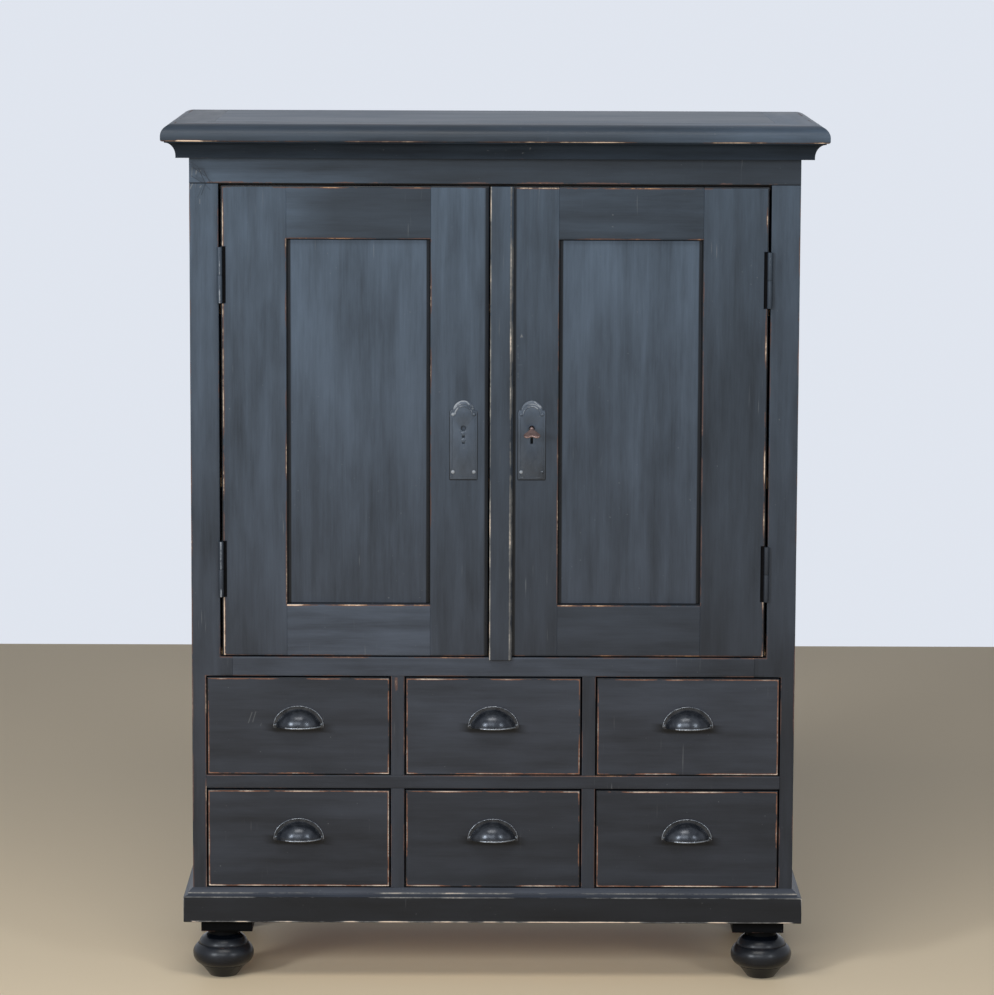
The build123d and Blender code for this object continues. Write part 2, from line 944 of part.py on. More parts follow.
def cup_outline():
    # The dome's front view, halfway through its wall.
    half = (pull_dome_width - pull_wall) / 2
    radius = pull_dome_radius - pull_wall / 2
    arch = [
        Line((-half, -1), (-half, pull_dome_end)),
        ThreePointArc((-half, pull_dome_end), (0, radius), (half, pull_dome_end)),
        Line((half, pull_dome_end), (half, -1)),
        Line((half, -1), (-half, -1)),
    ]
    below = Polyline((-half, -1), (half, -1), (half, -radius), (-half, -radius), close=True)
    return make_face(arch) + make_face(below)


def cup_pull(column, row):
    # The flange's inner edge lies inside the dome's wall, so that the two are one casting.
    ring = Ellipse(pull_flange_width / 2, pull_flange_rise) - cup_outline()
    flange = extrude(Plane.XZ * ring, amount=pull_wall)
    wide = pull_flange_width
    flange &= block(-wide, wide, -wide, wide, -pull_flange_drop, wide)
    nail_x = pull_nail_spacing / 2
    for s in (-1, 1):
        flange -= nail_hole(s * nail_x, -pull_wall, pull_nail_rise)
    x, z = pull_place(column, row)
    pieces = [Pos(x, front, z) * (flange + cup_dome())]
    for s in (-1, 1):
        pieces.append(nail(x + s * nail_x, front - pull_wall, z + pull_nail_rise))
    return pieces


# Case and front frame
left_side = block(-half_width, -inner_half, frame_back, back, case_bottom, case_top)
save("side_left", left_side)
save("side_right", mirrored(left_side))
save("back_boards", *back_boards())
top_inner = half_width + top_arris_overhang - top_border_width
top_front = front - top_arris_overhang + top_border_width
save("top_board", block(-top_inner, top_inner, top_front, back, case_top, overall_height))
save("top_moulding", *top_moulding())
save("cove_moulding", *cove_moulding())
save("plinth_moulding", *plinth_moulding())
save("stile_left", frame_stile())
save("stile_right", mirrored(frame_stile()))
save("frieze_rail", block(-half_width, half_width, front, frame_back, frieze_z, case_top))
joint_x = half_width - middle_rail_joint_inset
save("middle_rail", block(-joint_x, joint_x, front, frame_back, middle_rail_z, door_opening_z))
save("drawer_rail", block(-inner_half, inner_half, front, rail_back, drawer_rail_z, upper_row_z))
save("bottom_rail", block(-inner_half, inner_half, front, frame_back, case_bottom, lower_row_z))
save("drawer_dividers", *drawer_dividers())
save("drawer_partitions", *drawer_partitions())
save("runners_and_stops", *drawer_runners(), *drawer_stops())
save("cupboard_floor", cupboard_floor())
save("cupboard_shelves", *shelves())
save("cupboard_battens", *cupboard_battens())
board_z = lower_row_z - bottom_board_thickness
save("bottom_board", block(-inner_half, inner_half, frame_back, back_inner, board_z, lower_row_z))
save("foot_blocks", *[foot_block(x, y) for x, y in feet_places()])
save("bun_feet", *[foot(x, y) for x, y in feet_places()])
save(
    "hinge_frame_halves",
    *[hinge_frame_half(side, z) for side in (-1, 1) for z in hinge_centres(side)],
)

# Doors
for name, side in (("left", -1), ("right", 1)):
    save(f"{name}_hinge_stile", hinge_stile(side))
    save(f"{name}_door_rails", *door_rails(side))
    save(f"{name}_panel", door_panel(side))
    save(f"{name}_hinge_halves", *[hinge_door_half(side, z) for z in hinge_centres(side)])
save("left_lock_stile", left_lock_stile())
save("right_lock_stile", right_lock_stile())
save("left_key_plate", *key_plate(left_plate_x))
save("right_key_plate", *key_plate(right_plate_x))
save("cover_strip", cover_strip())
save("lock_case", lock_case())
save("lock_bolt", lock_bolt())
save("door_key", door_key())
save("barrel_plates", barrel_plate(1), barrel_plate(-1))
save("upper_bolt", barrel_bolt(1))
save("lower_bolt", barrel_bolt(-1))

# Drawers
for row in rows:
    for column in columns:
        save(f"{row}_{column}_drawer_front", drawer_front(column, row))
        save(f"{row}_{column}_drawer_box", *drawer_box(column, row))
        save(f"{row}_{column}_pull", *cup_pull(column, row))
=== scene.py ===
import math
import bmesh
import bpy
from mathutils import Matrix, Vector, noise
from mathutils.geometry import intersect_point_line


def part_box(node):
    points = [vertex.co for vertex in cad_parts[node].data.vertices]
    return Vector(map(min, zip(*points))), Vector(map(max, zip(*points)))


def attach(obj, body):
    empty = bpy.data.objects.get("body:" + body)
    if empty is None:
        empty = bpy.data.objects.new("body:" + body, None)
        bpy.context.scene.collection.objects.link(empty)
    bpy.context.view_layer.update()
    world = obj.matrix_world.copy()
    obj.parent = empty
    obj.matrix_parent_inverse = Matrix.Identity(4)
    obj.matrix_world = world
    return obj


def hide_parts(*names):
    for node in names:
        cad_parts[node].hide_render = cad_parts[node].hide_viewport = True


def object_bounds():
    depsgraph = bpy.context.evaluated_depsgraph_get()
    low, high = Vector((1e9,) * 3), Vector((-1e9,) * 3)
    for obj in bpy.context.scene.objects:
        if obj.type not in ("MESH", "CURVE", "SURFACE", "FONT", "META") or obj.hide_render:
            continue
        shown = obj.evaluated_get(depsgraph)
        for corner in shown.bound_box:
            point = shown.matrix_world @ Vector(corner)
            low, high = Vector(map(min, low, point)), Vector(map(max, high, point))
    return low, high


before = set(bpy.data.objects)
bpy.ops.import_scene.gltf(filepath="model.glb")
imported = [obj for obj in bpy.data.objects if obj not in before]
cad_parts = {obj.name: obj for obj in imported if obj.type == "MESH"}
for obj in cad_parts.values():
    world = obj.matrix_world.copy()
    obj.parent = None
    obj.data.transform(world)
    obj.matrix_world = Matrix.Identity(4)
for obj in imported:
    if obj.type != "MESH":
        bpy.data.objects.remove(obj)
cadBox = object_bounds()
print("frame:", len(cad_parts), "nodes")

# Everything is in metres: X to the right, Y to the back, Z up from the floor.
photographer = {"x": -0.0213, "y": -7.1672, "z": 1.7627, "down": 7.8442, "turn": -0.2143,
                "roll": 0.2162, "lens": 157.504, "sensor": 36.0}


def newObject(name, data):
    made = bpy.data.objects.new(name, data)
    bpy.context.scene.collection.objects.link(made)
    return made


def makeCamera():
    data = bpy.data.cameras.new("camera")
    data.lens, data.sensor_width = photographer["lens"], photographer["sensor"]
    data.clip_end = 100.0
    camera = newObject("camera", data)
    place = Matrix.Translation((photographer["x"], photographer["y"], photographer["z"]))
    turn = Matrix.Rotation(math.radians(photographer["turn"]), 4, "Z")
    tilt = Matrix.Rotation(math.radians(90 - photographer["down"]), 4, "X")
    roll = Matrix.Rotation(math.radians(photographer["roll"]), 4, "Z")
    camera.matrix_world = place @ turn @ tilt @ roll
    bpy.context.scene.camera = camera


makeCamera()
print("camera ready")


# Node helpers: a value that is a socket is linked, any other is set.
def setInputs(tree, node, values):
    for key, value in values.items():
        if isinstance(value, bpy.types.NodeSocket):
            tree.links.new(value, node.inputs[key])
        else:
            node.inputs[key].default_value = value
    return node


def add(tree, kind, values=None, **settings):
    made = tree.nodes.new("ShaderNode" + kind)
    for key, value in settings.items():
        setattr(made, key, value)
    return setInputs(tree, made, values or {})


def calc(tree, operation, *values):
    return add(tree, "Math", dict(enumerate(values)), operation=operation).outputs[0]


def total(tree, start, *terms):
    # start plus each noise's distance from its middle, times its weight
    for noiseValue, weight in terms:
        offset = calc(tree, "SUBTRACT", noiseValue, 0.5)
        start = calc(tree, "ADD", start, calc(tree, "MULTIPLY", offset, weight))
    return start


def mixColour(tree, share, first, second, how="MIX"):
    return add(tree, "Mix", {0: share, 6: first, 7: second}, data_type="RGBA", blend_type=how).outputs[2]


def ramp(tree, value, start, end, low=0.0, high=1.0):
    values = {"Value": value, "From Min": start, "From Max": end, "To Min": low, "To Max": high}
    return add(tree, "MapRange", values, interpolation_type="SMOOTHSTEP").outputs["Result"]


def noiseAt(tree, place, scale, detail=2.0, rough=0.5, board=0.0):
    values = {"Vector": place, "W": board, "Scale": scale, "Detail": detail, "Roughness": rough}
    return add(tree, "TexNoise", values, noise_dimensions="4D").outputs[0]


def stretched(tree, place, stretch, turn=(0.0, 0.0, 0.0)):
    return add(tree, "Mapping", {"Vector": place, "Scale": stretch, "Rotation": turn}).outputs[0]


def attribute(tree, name):
    return add(tree, "Attribute", attribute_name=name).outputs["Fac"]


def newGroup(name, inputs, outputs):
    group = bpy.data.node_groups.new(name, "ShaderNodeTree")
    for label, kind, start in inputs:
        socket = group.interface.new_socket(label, in_out="INPUT", socket_type="NodeSocket" + kind)
        if start is not None:
            socket.default_value = start
    for label in outputs:
        group.interface.new_socket(label, in_out="OUTPUT", socket_type="NodeSocketFloat")
    entry = group.nodes.new("NodeGroupInput").outputs
    leave = group.nodes.new("NodeGroupOutput").inputs
    return group, entry, leave


def useGroup(tree, group, values):
    return add(tree, "Group", values, node_tree=group).outputs


def makeGrainGroup():
    # Stretch is small along the grain, so the marks run that way. The clouds are drawn out less.
    group, entry, leave = newGroup(
        "brushGrain",
        [("Place", "Vector", None), ("Stretch", "Vector", (1.0, 1.0, 0.05)), ("Board", "Float", 0.0)],
        ["Fine", "Wide", "Cloud", "Mottle"])
    along = stretched(group, entry["Place"], entry["Stretch"])
    half = add(group, "VectorMath", {0: entry["Stretch"], 1: (0.8, 0.8, 0.8), 2: (0.2, 0.2, 0.2)},
               operation="MULTIPLY_ADD").outputs[0]
    brushed = stretched(group, entry["Place"], half)
    kinds = {"Fine": (along, 420.0, 4.0, 0.62), "Wide": (along, 62.0, 3.0, 0.55),
             "Cloud": (brushed, 10.0, 4.0, 0.55), "Mottle": (brushed, 36.0, 4.0, 0.6)}
    for label, (where, scale, detail, rough) in kinds.items():
        group.links.new(noiseAt(group, where, scale, detail, rough, entry["Board"]), leave[label])
    return group


def makeWearGroup():
    # Wear is 1 on an arris and falls to 0 a few millimetres away.
    group, entry, leave = newGroup(
        "edgeWear",
        [("Place", "Vector", None), ("Wear", "Float", 0.0), ("Board", "Float", 0.0)],
        ["Rubbed", "Bare", "Core"])
    patch = noiseAt(group, entry["Place"], 14.0, 3.0, 0.55, entry["Board"])
    ragged = noiseAt(group, entry["Place"], 190.0, 4.0, 0.65, entry["Board"])
    share = ramp(group, patch, 0.34, 0.66, 0.40, 1.40)
    worn = calc(group, "MULTIPLY", entry["Wear"], share)
    level = total(group, worn, (ragged, 0.7))
    group.links.new(ramp(group, level, 0.48, 0.62), leave["Rubbed"])
    group.links.new(ramp(group, level, 0.86, 1.0), leave["Bare"])
    group.links.new(ramp(group, level, 1.08, 1.25), leave["Core"])
    return group


def makeScratchGroup():
    # Short pale scratches in two directions, only in some places, and small nicks.
    group, entry, leave = newGroup(
        "scratchMarks", [("Place", "Vector", None), ("Board", "Float", 0.0)], ["Marks"])
    place, board = entry["Place"], entry["Board"]
    marks = 0.0
    for turn, stretch in (((0.0, 0.5, 0.0), (1.0, 1.0, 0.04)), ((0.0, -1.1, 0.0), (0.9, 1.0, 0.05))):
        lines = noiseAt(group, stretched(group, place, stretch, turn), 300.0, 1.0, 0.4, board)
        marks = calc(group, "MAXIMUM", marks, ramp(group, lines, 0.70, 0.76))
    somewhere = ramp(group, noiseAt(group, place, 11.0, 2.0, 0.5, board), 0.56, 0.68)
    nicks = ramp(group, noiseAt(group, place, 210.0, 1.0, 0.4, board), 0.76, 0.80)
    marks = calc(group, "MAXIMUM", calc(group, "MULTIPLY", marks, somewhere), nicks)
    group.links.new(marks, leave["Marks"])
    return group


grainGroup, wearGroup, scratchGroup = makeGrainGroup(), makeWearGroup(), makeScratchGroup()
alongX, alongY, alongZ = (0.05, 1.0, 1.0), (1.0, 0.05, 1.0), (1.0, 1.0, 0.05)


def bumpFrom(tree, height, strength, distance):
    return add(tree, "Bump", {"Height": height, "Strength": strength, "Distance": distance}).outputs[0]


def newMaterial(name):
    material = bpy.data.materials.new(name)
    material.use_nodes = True
    tree = material.node_tree
    shader = tree.nodes["Principled BSDF"]
    place = add(tree, "TexCoord").outputs["Object"]
    return material, tree, shader, place


paint = {"low": (0.023, 0.0265, 0.035, 1), "high": (0.0465, 0.0665, 0.0945, 1),
         "fadeAndLightFrom": 0.45, "fadeAndLightTo": 1.32, "clouds": 1.4, "mottle": 0.8, "streaks": 1.0, "hairs": 0.5,
         "dirtAndShadeColour": (0.002, 0.003, 0.005, 1), "scratch": (0.15, 0.155, 0.16, 1), "relief": 0.0004}
# What shows where the paint is rubbed thin or off
under = {"stain": (0.085, 0.048, 0.040, 1), "orange": (0.42, 0.23, 0.12, 1), "pale": (0.48, 0.38, 0.29, 1),
         "steel": (0.24, 0.26, 0.29, 1), "chalk": (0.36, 0.34, 0.31, 1), "rust": (0.20, 0.088, 0.05, 1),
         "grey": (0.11, 0.11, 0.11, 1), "core": (0.72, 0.56, 0.44, 1)}


def paintedWood(name, stretch, bare="pale", rubbed="stain", rough=0.43, gloss=0.25):
    material, tree, shader, place = newMaterial(name)
    board = attribute(tree, "board")
    grain = useGroup(tree, grainGroup, {"Place": place, "Stretch": stretch, "Board": board})
    wear = useGroup(tree, wearGroup, {"Place": place, "Wear": attribute(tree, "wear"), "Board": board})
    marks = useGroup(tree, scratchGroup, {"Place": place, "Board": board})["Marks"]
    # the paint is paler higher up, partly faded and partly painted light from above, and each board has its own
    # brush marks
    height = add(tree, "SeparateXYZ", {"Vector": place}).outputs["Z"]
    fadedAndLit = add(tree, "MapRange", {"Value": height, "From Min": paint["fadeAndLightFrom"], "From Max": paint["fadeAndLightTo"]})
    colour = mixColour(tree, fadedAndLit.outputs["Result"], paint["low"], paint["high"])
    shade = total(tree, 1.0, (grain["Cloud"], paint["clouds"]), (grain["Mottle"], paint["mottle"]),
                  (grain["Wide"], paint["streaks"]), (grain["Fine"], paint["hairs"]))
    # each piece's stored shade scales its paint: mostly painted light and shade for where the piece sits
    shade = calc(tree, "MULTIPLY", shade, attribute(tree, "shade"))
    grey = add(tree, "CombineXYZ", {0: shade, 1: shade, 2: shade}).outputs[0]
    colour = mixColour(tree, 1.0, colour, grey, "MULTIPLY")
    # scratches, then worn edges, then dirt and painted shade
    marks = calc(tree, "MAXIMUM", calc(tree, "MULTIPLY", marks, 0.75), attribute(tree, "stroke"))
    colour = mixColour(tree, calc(tree, "MULTIPLY", marks, 0.45), colour, paint["scratch"])
    colour = mixColour(tree, calc(tree, "MULTIPLY", wear["Rubbed"], 0.85), colour, under[rubbed])
    bareWood = mixColour(tree, ramp(tree, grain["Fine"], 0.3, 0.6), under[rubbed], under[bare])
    colour = mixColour(tree, wear["Bare"], colour, bareWood)
    colour = mixColour(tree, wear["Core"], colour, under["core"])
    dirtAndShadeShare = calc(tree, "MULTIPLY", attribute(tree, "grime"), total(tree, 0.9, (grain["Mottle"], 0.6)))
    dirtAndShadeShare = ramp(tree, dirtAndShadeShare, 0.0, 1.0)
    colour = mixColour(tree, dirtAndShadeShare, colour, paint["dirtAndShadeColour"])
    # rubbed paint is duller, and the dirt and painted shade a little smoother
    sheen = total(tree, rough, (grain["Cloud"], 0.25), (grain["Mottle"], 0.2))
    sheen = calc(tree, "ADD", sheen, calc(tree, "MULTIPLY", wear["Rubbed"], 0.25))
    sheen = calc(tree, "SUBTRACT", sheen, calc(tree, "MULTIPLY", dirtAndShadeShare, 0.15))
    relief = calc(tree, "SUBTRACT", calc(tree, "MULTIPLY", grain["Fine"], 0.4),
                  calc(tree, "MULTIPLY", wear["Rubbed"], 0.25))
    setInputs(tree, shader, {"Base Color": colour, "Roughness": sheen, "Specular IOR Level": gloss,
                             "Normal": bumpFrom(tree, relief, 0.5, paint["relief"])})
    return material


pine = {"pale": (0.50, 0.33, 0.18), "dark": (0.31, 0.17, 0.08), "old": (0.20, 0.12, 0.065)}


def rawPine(name, stretch, tone=1.0):
    material, tree, shader, place = newMaterial(name)
    pale, dark, old = ([part * tone for part in colour] + [1] for colour in pine.values())
    board = attribute(tree, "board")
    grain = useGroup(tree, grainGroup, {"Place": place, "Stretch": stretch, "Board": board})
    lines = total(tree, 0.5, (grain["Wide"], 1.6), (grain["Fine"], 0.8))
    colour = mixColour(tree, ramp(tree, lines, 0.2, 0.8), pale, dark)
    colour = mixColour(tree, ramp(tree, grain["Cloud"], 0.35, 0.7, 0.0, 0.6), colour, old)
    setInputs(tree, shader, {"Base Color": colour, "Roughness": total(tree, 0.74, (grain["Mottle"], 0.2)),
                             "Normal": bumpFrom(tree, grain["Fine"], 0.4, 0.0006)})
    return material


metals = {
    "castIron": {"dark": (0.012, 0.015, 0.021, 1), "light": (0.26, 0.28, 0.31, 1),
                 "rust": (0.010, 0.010, 0.011, 1), "rustShare": 0.05,
                 "rough": 0.26, "metallic": 0.5, "clouds": 0.1},
    "notchShadeIron": {"dark": (0.003, 0.003, 0.004, 1), "light": (0.02, 0.02, 0.02, 1),
                  "rust": (0.006, 0.004, 0.003, 1), "rustShare": 0.2,
                  "rough": 0.4, "metallic": 0.0, "clouds": 0.1, "gloss": 0.05},
    "sheetIron": {"dark": (0.05, 0.052, 0.056, 1), "light": (0.17, 0.175, 0.18, 1),
                  "rust": (0.06, 0.035, 0.025, 1), "rustShare": 0.15,
                  "rough": 0.36, "metallic": 0.6, "clouds": 0.3},
    "rustySteel": {"dark": (0.11, 0.065, 0.058, 1), "light": (0.34, 0.24, 0.22, 1),
                   "rust": (0.16, 0.075, 0.06, 1), "rustShare": 0.42,
                   "rough": 0.32, "metallic": 0.5, "clouds": 0.7},
    "boltSteel": {"dark": (0.12, 0.115, 0.11, 1), "light": (0.32, 0.31, 0.30, 1),
                  "rust": (0.13, 0.06, 0.035, 1), "rustShare": 0.3,
                  "rough": 0.34, "metallic": 0.85, "clouds": 0.4}}


def oldMetal(name, dark, light, rust, rustShare, rough, metallic, clouds, gloss=0.5):
    material, tree, shader, place = newMaterial(name)
    board = attribute(tree, "board")
    cloud = noiseAt(tree, place, 70.0, 4.0, 0.6, board)
    spots = noiseAt(tree, place, 420.0, 5.0, 0.7, board)
    colour = mixColour(tree, ramp(tree, cloud, 0.35, 0.65, 0.0, clouds), dark, light)
    rusty = ramp(tree, total(tree, rustShare, (spots, 1.0), (cloud, 0.8)), 0.5, 0.62)
    colour = mixColour(tree, rusty, colour, rust)
    rubbed = ramp(tree, total(tree, attribute(tree, "wear"), (spots, 0.6)), 0.55, 0.8)
    colour = mixColour(tree, rubbed, colour, light)
    dull = calc(tree, "ADD", rusty, total(tree, 0.0, (cloud, 0.5)))
    setInputs(tree, shader, {"Base Color": colour, "Roughness": ramp(tree, dull, 0.0, 1.0, rough, 0.75),
                             "Metallic": metallic, "Specular IOR Level": gloss,
                             "Normal": bumpFrom(tree, spots, 0.25, 0.0002)})
    return material


uprightPaint, levelPaint = paintedWood("uprightPaint", alongZ), paintedWood("levelPaint", alongX, "orange")
deepPaint, edgePaint = paintedWood("deepPaint", alongY), paintedWood("edgePaint", alongX)
drawerPaint = paintedWood("drawerPaint", alongX, "chalk", "rust")
plinthPaint = paintedWood("plinthPaint", alongX, "chalk", "grey")
plinthDeep = paintedWood("plinthDeep", alongY, "chalk", "grey")
blockPaint = paintedWood("blockPaint", alongX, "orange", gloss=0.05)
coveRound = paintedWood("coveRound", alongX, gloss=0.08)
coveDeep = paintedWood("coveDeep", alongY, gloss=0.08)
stripPaint = paintedWood("stripPaint", alongZ, "chalk", "grey")
turnedPaint = paintedWood("turnedPaint", (0.6, 0.6, 1.0), rough=0.33, gloss=0.26)
hingePaint = paintedWood("hingePaint", alongZ, "steel", "steel", rough=0.5, gloss=0.25)
platePaint = paintedWood("platePaint", (0.8, 1.0, 0.3), "steel", "steel", rough=0.30, gloss=0.4)
uprightPine, levelPine = rawPine("uprightPine", alongZ), rawPine("levelPine", alongX)
deepPine, gapShadePine = rawPine("deepPine", alongY), rawPine("gapShadePine", alongY, 0.08)
castIron, notchShadeIron, sheetIron, rustySteel, boltSteel = (
    oldMetal(name, **look) for name, look in metals.items())
print("materials ready")


# Mesh helpers
pieceCount = 0


def bevel(bm, edges, offset, segments):
    if edges:
        bmesh.ops.bevel(bm, geom=edges, offset=offset, segments=segments, profile=0.5, affect="EDGES",
                        material=-1)


def meshOf(bm, name):
    mesh = bpy.data.meshes.new(name)
    bm.to_mesh(mesh)
    bm.free()
    return mesh


def vertsOf(geom):
    return [v for v in geom if isinstance(v, bmesh.types.BMVert)]


def cube(low, high, bm=None):
    bm = bm or bmesh.new()
    verts = bmesh.ops.create_cube(bm, size=1.0)["verts"]
    bmesh.ops.scale(bm, vec=Vector(high) - Vector(low), verts=verts)
    bmesh.ops.translate(bm, vec=(Vector(low) + Vector(high)) / 2, verts=verts)
    return bm


def solidFrom(points, push, bm=None):
    # A flat outline made solid.
    bm = bm or bmesh.new()
    face = bm.faces.new([bm.verts.new(p) for p in points])
    made = bmesh.ops.extrude_face_region(bm, geom=[face])["geom"]
    bmesh.ops.translate(bm, vec=push, verts=vertsOf(made))
    bmesh.ops.recalc_face_normals(bm, faces=bm.faces)
    return bm


def tube(bm, place, across, centre, axis, angle, radius, steps, segments=8):
    # A round wire: a small circle at place, in the plane of axis and across, turned about the centre.
    turn = Vector((0, 0, 1)).rotation_difference(Vector(across).cross(Vector(axis))).to_matrix().to_4x4()
    circle = bmesh.ops.create_circle(bm, cap_ends=True, segments=segments, radius=radius,
                                     matrix=Matrix.Translation(place) @ turn)["verts"]
    edges = list({e for v in circle for e in v.link_edges})
    faces = list({f for v in circle for f in v.link_faces})
    bmesh.ops.spin(bm, geom=circle + edges + faces, cent=centre, axis=axis, angle=angle, steps=steps)


def rod(bm, start, end, radius, segments=20, blunt=0.0):
    start, end = Vector(start), Vector(end)
    turn = Vector((0, 0, 1)).rotation_difference(end - start).to_matrix().to_4x4()
    place = Matrix.Translation((start + end) / 2) @ turn
    made = bmesh.ops.create_cone(bm, cap_ends=True, segments=segments, radius1=radius, radius2=radius,
                                 depth=(end - start).length, matrix=place)
    if blunt:
        edges = {e for v in made["verts"] for e in v.link_edges}
        bevel(bm, [e for e in edges if e.calc_face_angle(0) > 1.2], blunt, 3)


def stud(bm, place, radius, height):
    # The domed head of a nail, facing the front
    verts = bmesh.ops.create_uvsphere(bm, u_segments=16, v_segments=8, radius=1.0)["verts"]
    bmesh.ops.scale(bm, vec=(radius, height, radius), verts=verts)
    bmesh.ops.translate(bm, vec=place, verts=verts)


def merge(bm, other):
    mesh = meshOf(other, "part")
    bm.from_mesh(mesh)
    bpy.data.meshes.remove(mesh)


def column(x, y, z0, z1, strength):
    return Vector((x, y, z0)), Vector((x, y, z1)), strength


# Each side of a box, as its axis and whether it is the far one
boxSides = {"left": (0, 0), "right": (0, 1), "front": (1, 0), "back": (1, 1), "bottom": (2, 0), "top": (2, 1)}


def edgeLines(low, high, strengths):
    # Worn edges of a box, as (start, end, strength); "front left" picks an edge.
    lines = []
    for words, strength in strengths.items():
        start, end = list(low), list(high)
        for word in words.split():
            axis, far = boxSides[word]
            start[axis] = end[axis] = (low, high)[far][axis]
        lines.append((Vector(start), Vector(end), strength))
    return lines


def distanceTo(point, start, end):
    near, share = intersect_point_line(point, start, end)
    near = start if share < 0 else end if share > 1 else near
    return (point - near).length


def markLines(bm, layerName, lines, reach, flat=0.0):
    # A line's strength holds for the flat share of its reach, and falls to 0 at the reach.
    layer = bm.verts.layers.float.new(layerName)
    for vert in bm.verts:
        found = [s * min(1.0, (1 - distanceTo(vert.co, a, b) / reach) / (1 - flat)) for a, b, s in lines]
        vert[layer] = max([0.0] + found)


def markSince(bm, before, strength):
    layer = bm.verts.layers.float.get("wear") or bm.verts.layers.float.new("wear")
    for vert in bm.verts[:][before:]:
        vert[layer] = strength


def cutAt(bm, axis, places):
    normal = Vector((axis == 0, axis == 1, axis == 2))
    for place in places:
        bmesh.ops.bisect_plane(bm, geom=bm.verts[:] + bm.edges[:] + bm.faces[:], dist=1e-6,
                               plane_co=normal * place, plane_no=normal)


def spread(start, end, step):
    count = max(1, round((end - start) / step))
    return [start + (end - start) * i / count for i in range(1, count)]


def carveNotch(bm, arris, inner, z0, z1):
    # Between two heights the upright arris moves in, which leaves a rebate.
    hair, near = 1e-5, 1e-6
    cutAt(bm, 2, [z0, z0 + hair, z1 - hair, z1])
    cutAt(bm, 0, [inner[0]])
    cutAt(bm, 1, [inner[1]])
    for vert in bm.verts:
        at = vert.co
        onArris = abs(at.x - arris[0]) < near and abs(at.y - arris[1]) < near
        if onArris and z0 + hair / 2 < at.z < z1 - hair / 2:
            at.x, at.y = inner
    bmesh.ops.remove_doubles(bm, verts=bm.verts, dist=3 * hair)


def carvePocket(bm, low, high, push):
    # The part of a face between low and high goes in by push.
    for axis in range(3):
        if not push[axis]:
            cutAt(bm, axis, [low[axis], high[axis]])
    cell = [f for f in bm.faces if all(low[i] < f.calc_center_median()[i] < high[i] for i in range(3))]
    made = bmesh.ops.extrude_face_region(bm, geom=cell)["geom"]
    bmesh.ops.translate(bm, vec=push, verts=vertsOf(made))
    bmesh.ops.delete(bm, geom=cell, context="FACES")


def liesOn(edge, line):
    return all(distanceTo(v.co, *line[:2]) < 1e-5 for v in edge.verts)


def roundOff(bm, lines, big, small):
    # Edges on the worn lines get the big rounding, and the joints the small one.
    free = [e for e in bm.edges if e.calc_face_angle(0) > 0.7 and any(liesOn(e, line) for line in lines)]
    bevel(bm, free, big, 2)
    bevel(bm, [e for e in bm.edges if e.calc_face_angle(0) > 1.2], small, 1)


noise.seed_set(1)


def waver(bm, amount, size, shift):
    # The same waviness each run. Nothing is lifted, so that the drawers still slide over the rails.
    for vert in bm.verts:
        push = noise.noise_vector(vert.co / size + Vector((shift, 0, 0))) * amount
        vert.co += Vector((push.x, push.y, -abs(push.z)))


def putPiece(name, bm, body, nodes, material, sharp=35, shade=1.0):
    global pieceCount
    pieceCount += 1
    number, tone = bm.verts.layers.float.new("board"), bm.verts.layers.float.new("shade")
    for vert in bm.verts:
        vert[number], vert[tone] = pieceCount * 3.7, shade(vert.co) if callable(shade) else shade
        for axis in range(3):
            vert.co[axis] = min(max(vert.co[axis], cadBox[0][axis]), cadBox[1][axis])
    for edge in bm.edges:
        edge.smooth = edge.calc_face_angle(0) < math.radians(sharp)
    for face in bm.faces:
        face.smooth = True
    mesh = meshOf(bm, name)
    mesh.materials.append(material)
    piece = newObject(name, mesh)
    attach(piece, body)
    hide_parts(*nodes)
    return piece


def strokeCuts(strokes, first):
    # Where a front is cut so that its strokes show: a common 0.8 mm grid, 2 mm past each stroke
    step, margin = 0.0008, 0.002
    cuts = set()
    for stroke in strokes:
        start, end = sorted((stroke[first], stroke[first + 2]))
        cuts.update(round(place / step) * step for place in spread(start - margin, end + margin, step))
    return sorted(cuts)


def addStrokes(bm, strokes, width=0.0011, edge=0.002):
    # Fine strokes on a front, as (x0, z0, x1, z1, strength): pale above 0 and dark below.
    for axis, first in ((0, 0), (2, 1)):
        low, high = min(v.co[axis] for v in bm.verts), max(v.co[axis] for v in bm.verts)
        cutAt(bm, axis, [p for p in strokeCuts(strokes, first) if low + edge < p < high - edge])
    front = min(v.co.y for v in bm.verts) + 0.0015
    pale, dark = bm.verts.layers.float.new("stroke"), bm.verts.layers.float["grime"]
    for x0, z0, x1, z1, strength in strokes:
        layer = pale if strength > 0 else dark
        start, end = Vector((x0, 0, z0)), Vector((x1, 0, z1))
        for vert in bm.verts:
            if vert.co.y < front:
                share = 1 - distanceTo(Vector((vert.co.x, 0, vert.co.z)), start, end) / width
                vert[layer] = max(vert[layer], share * abs(strength))


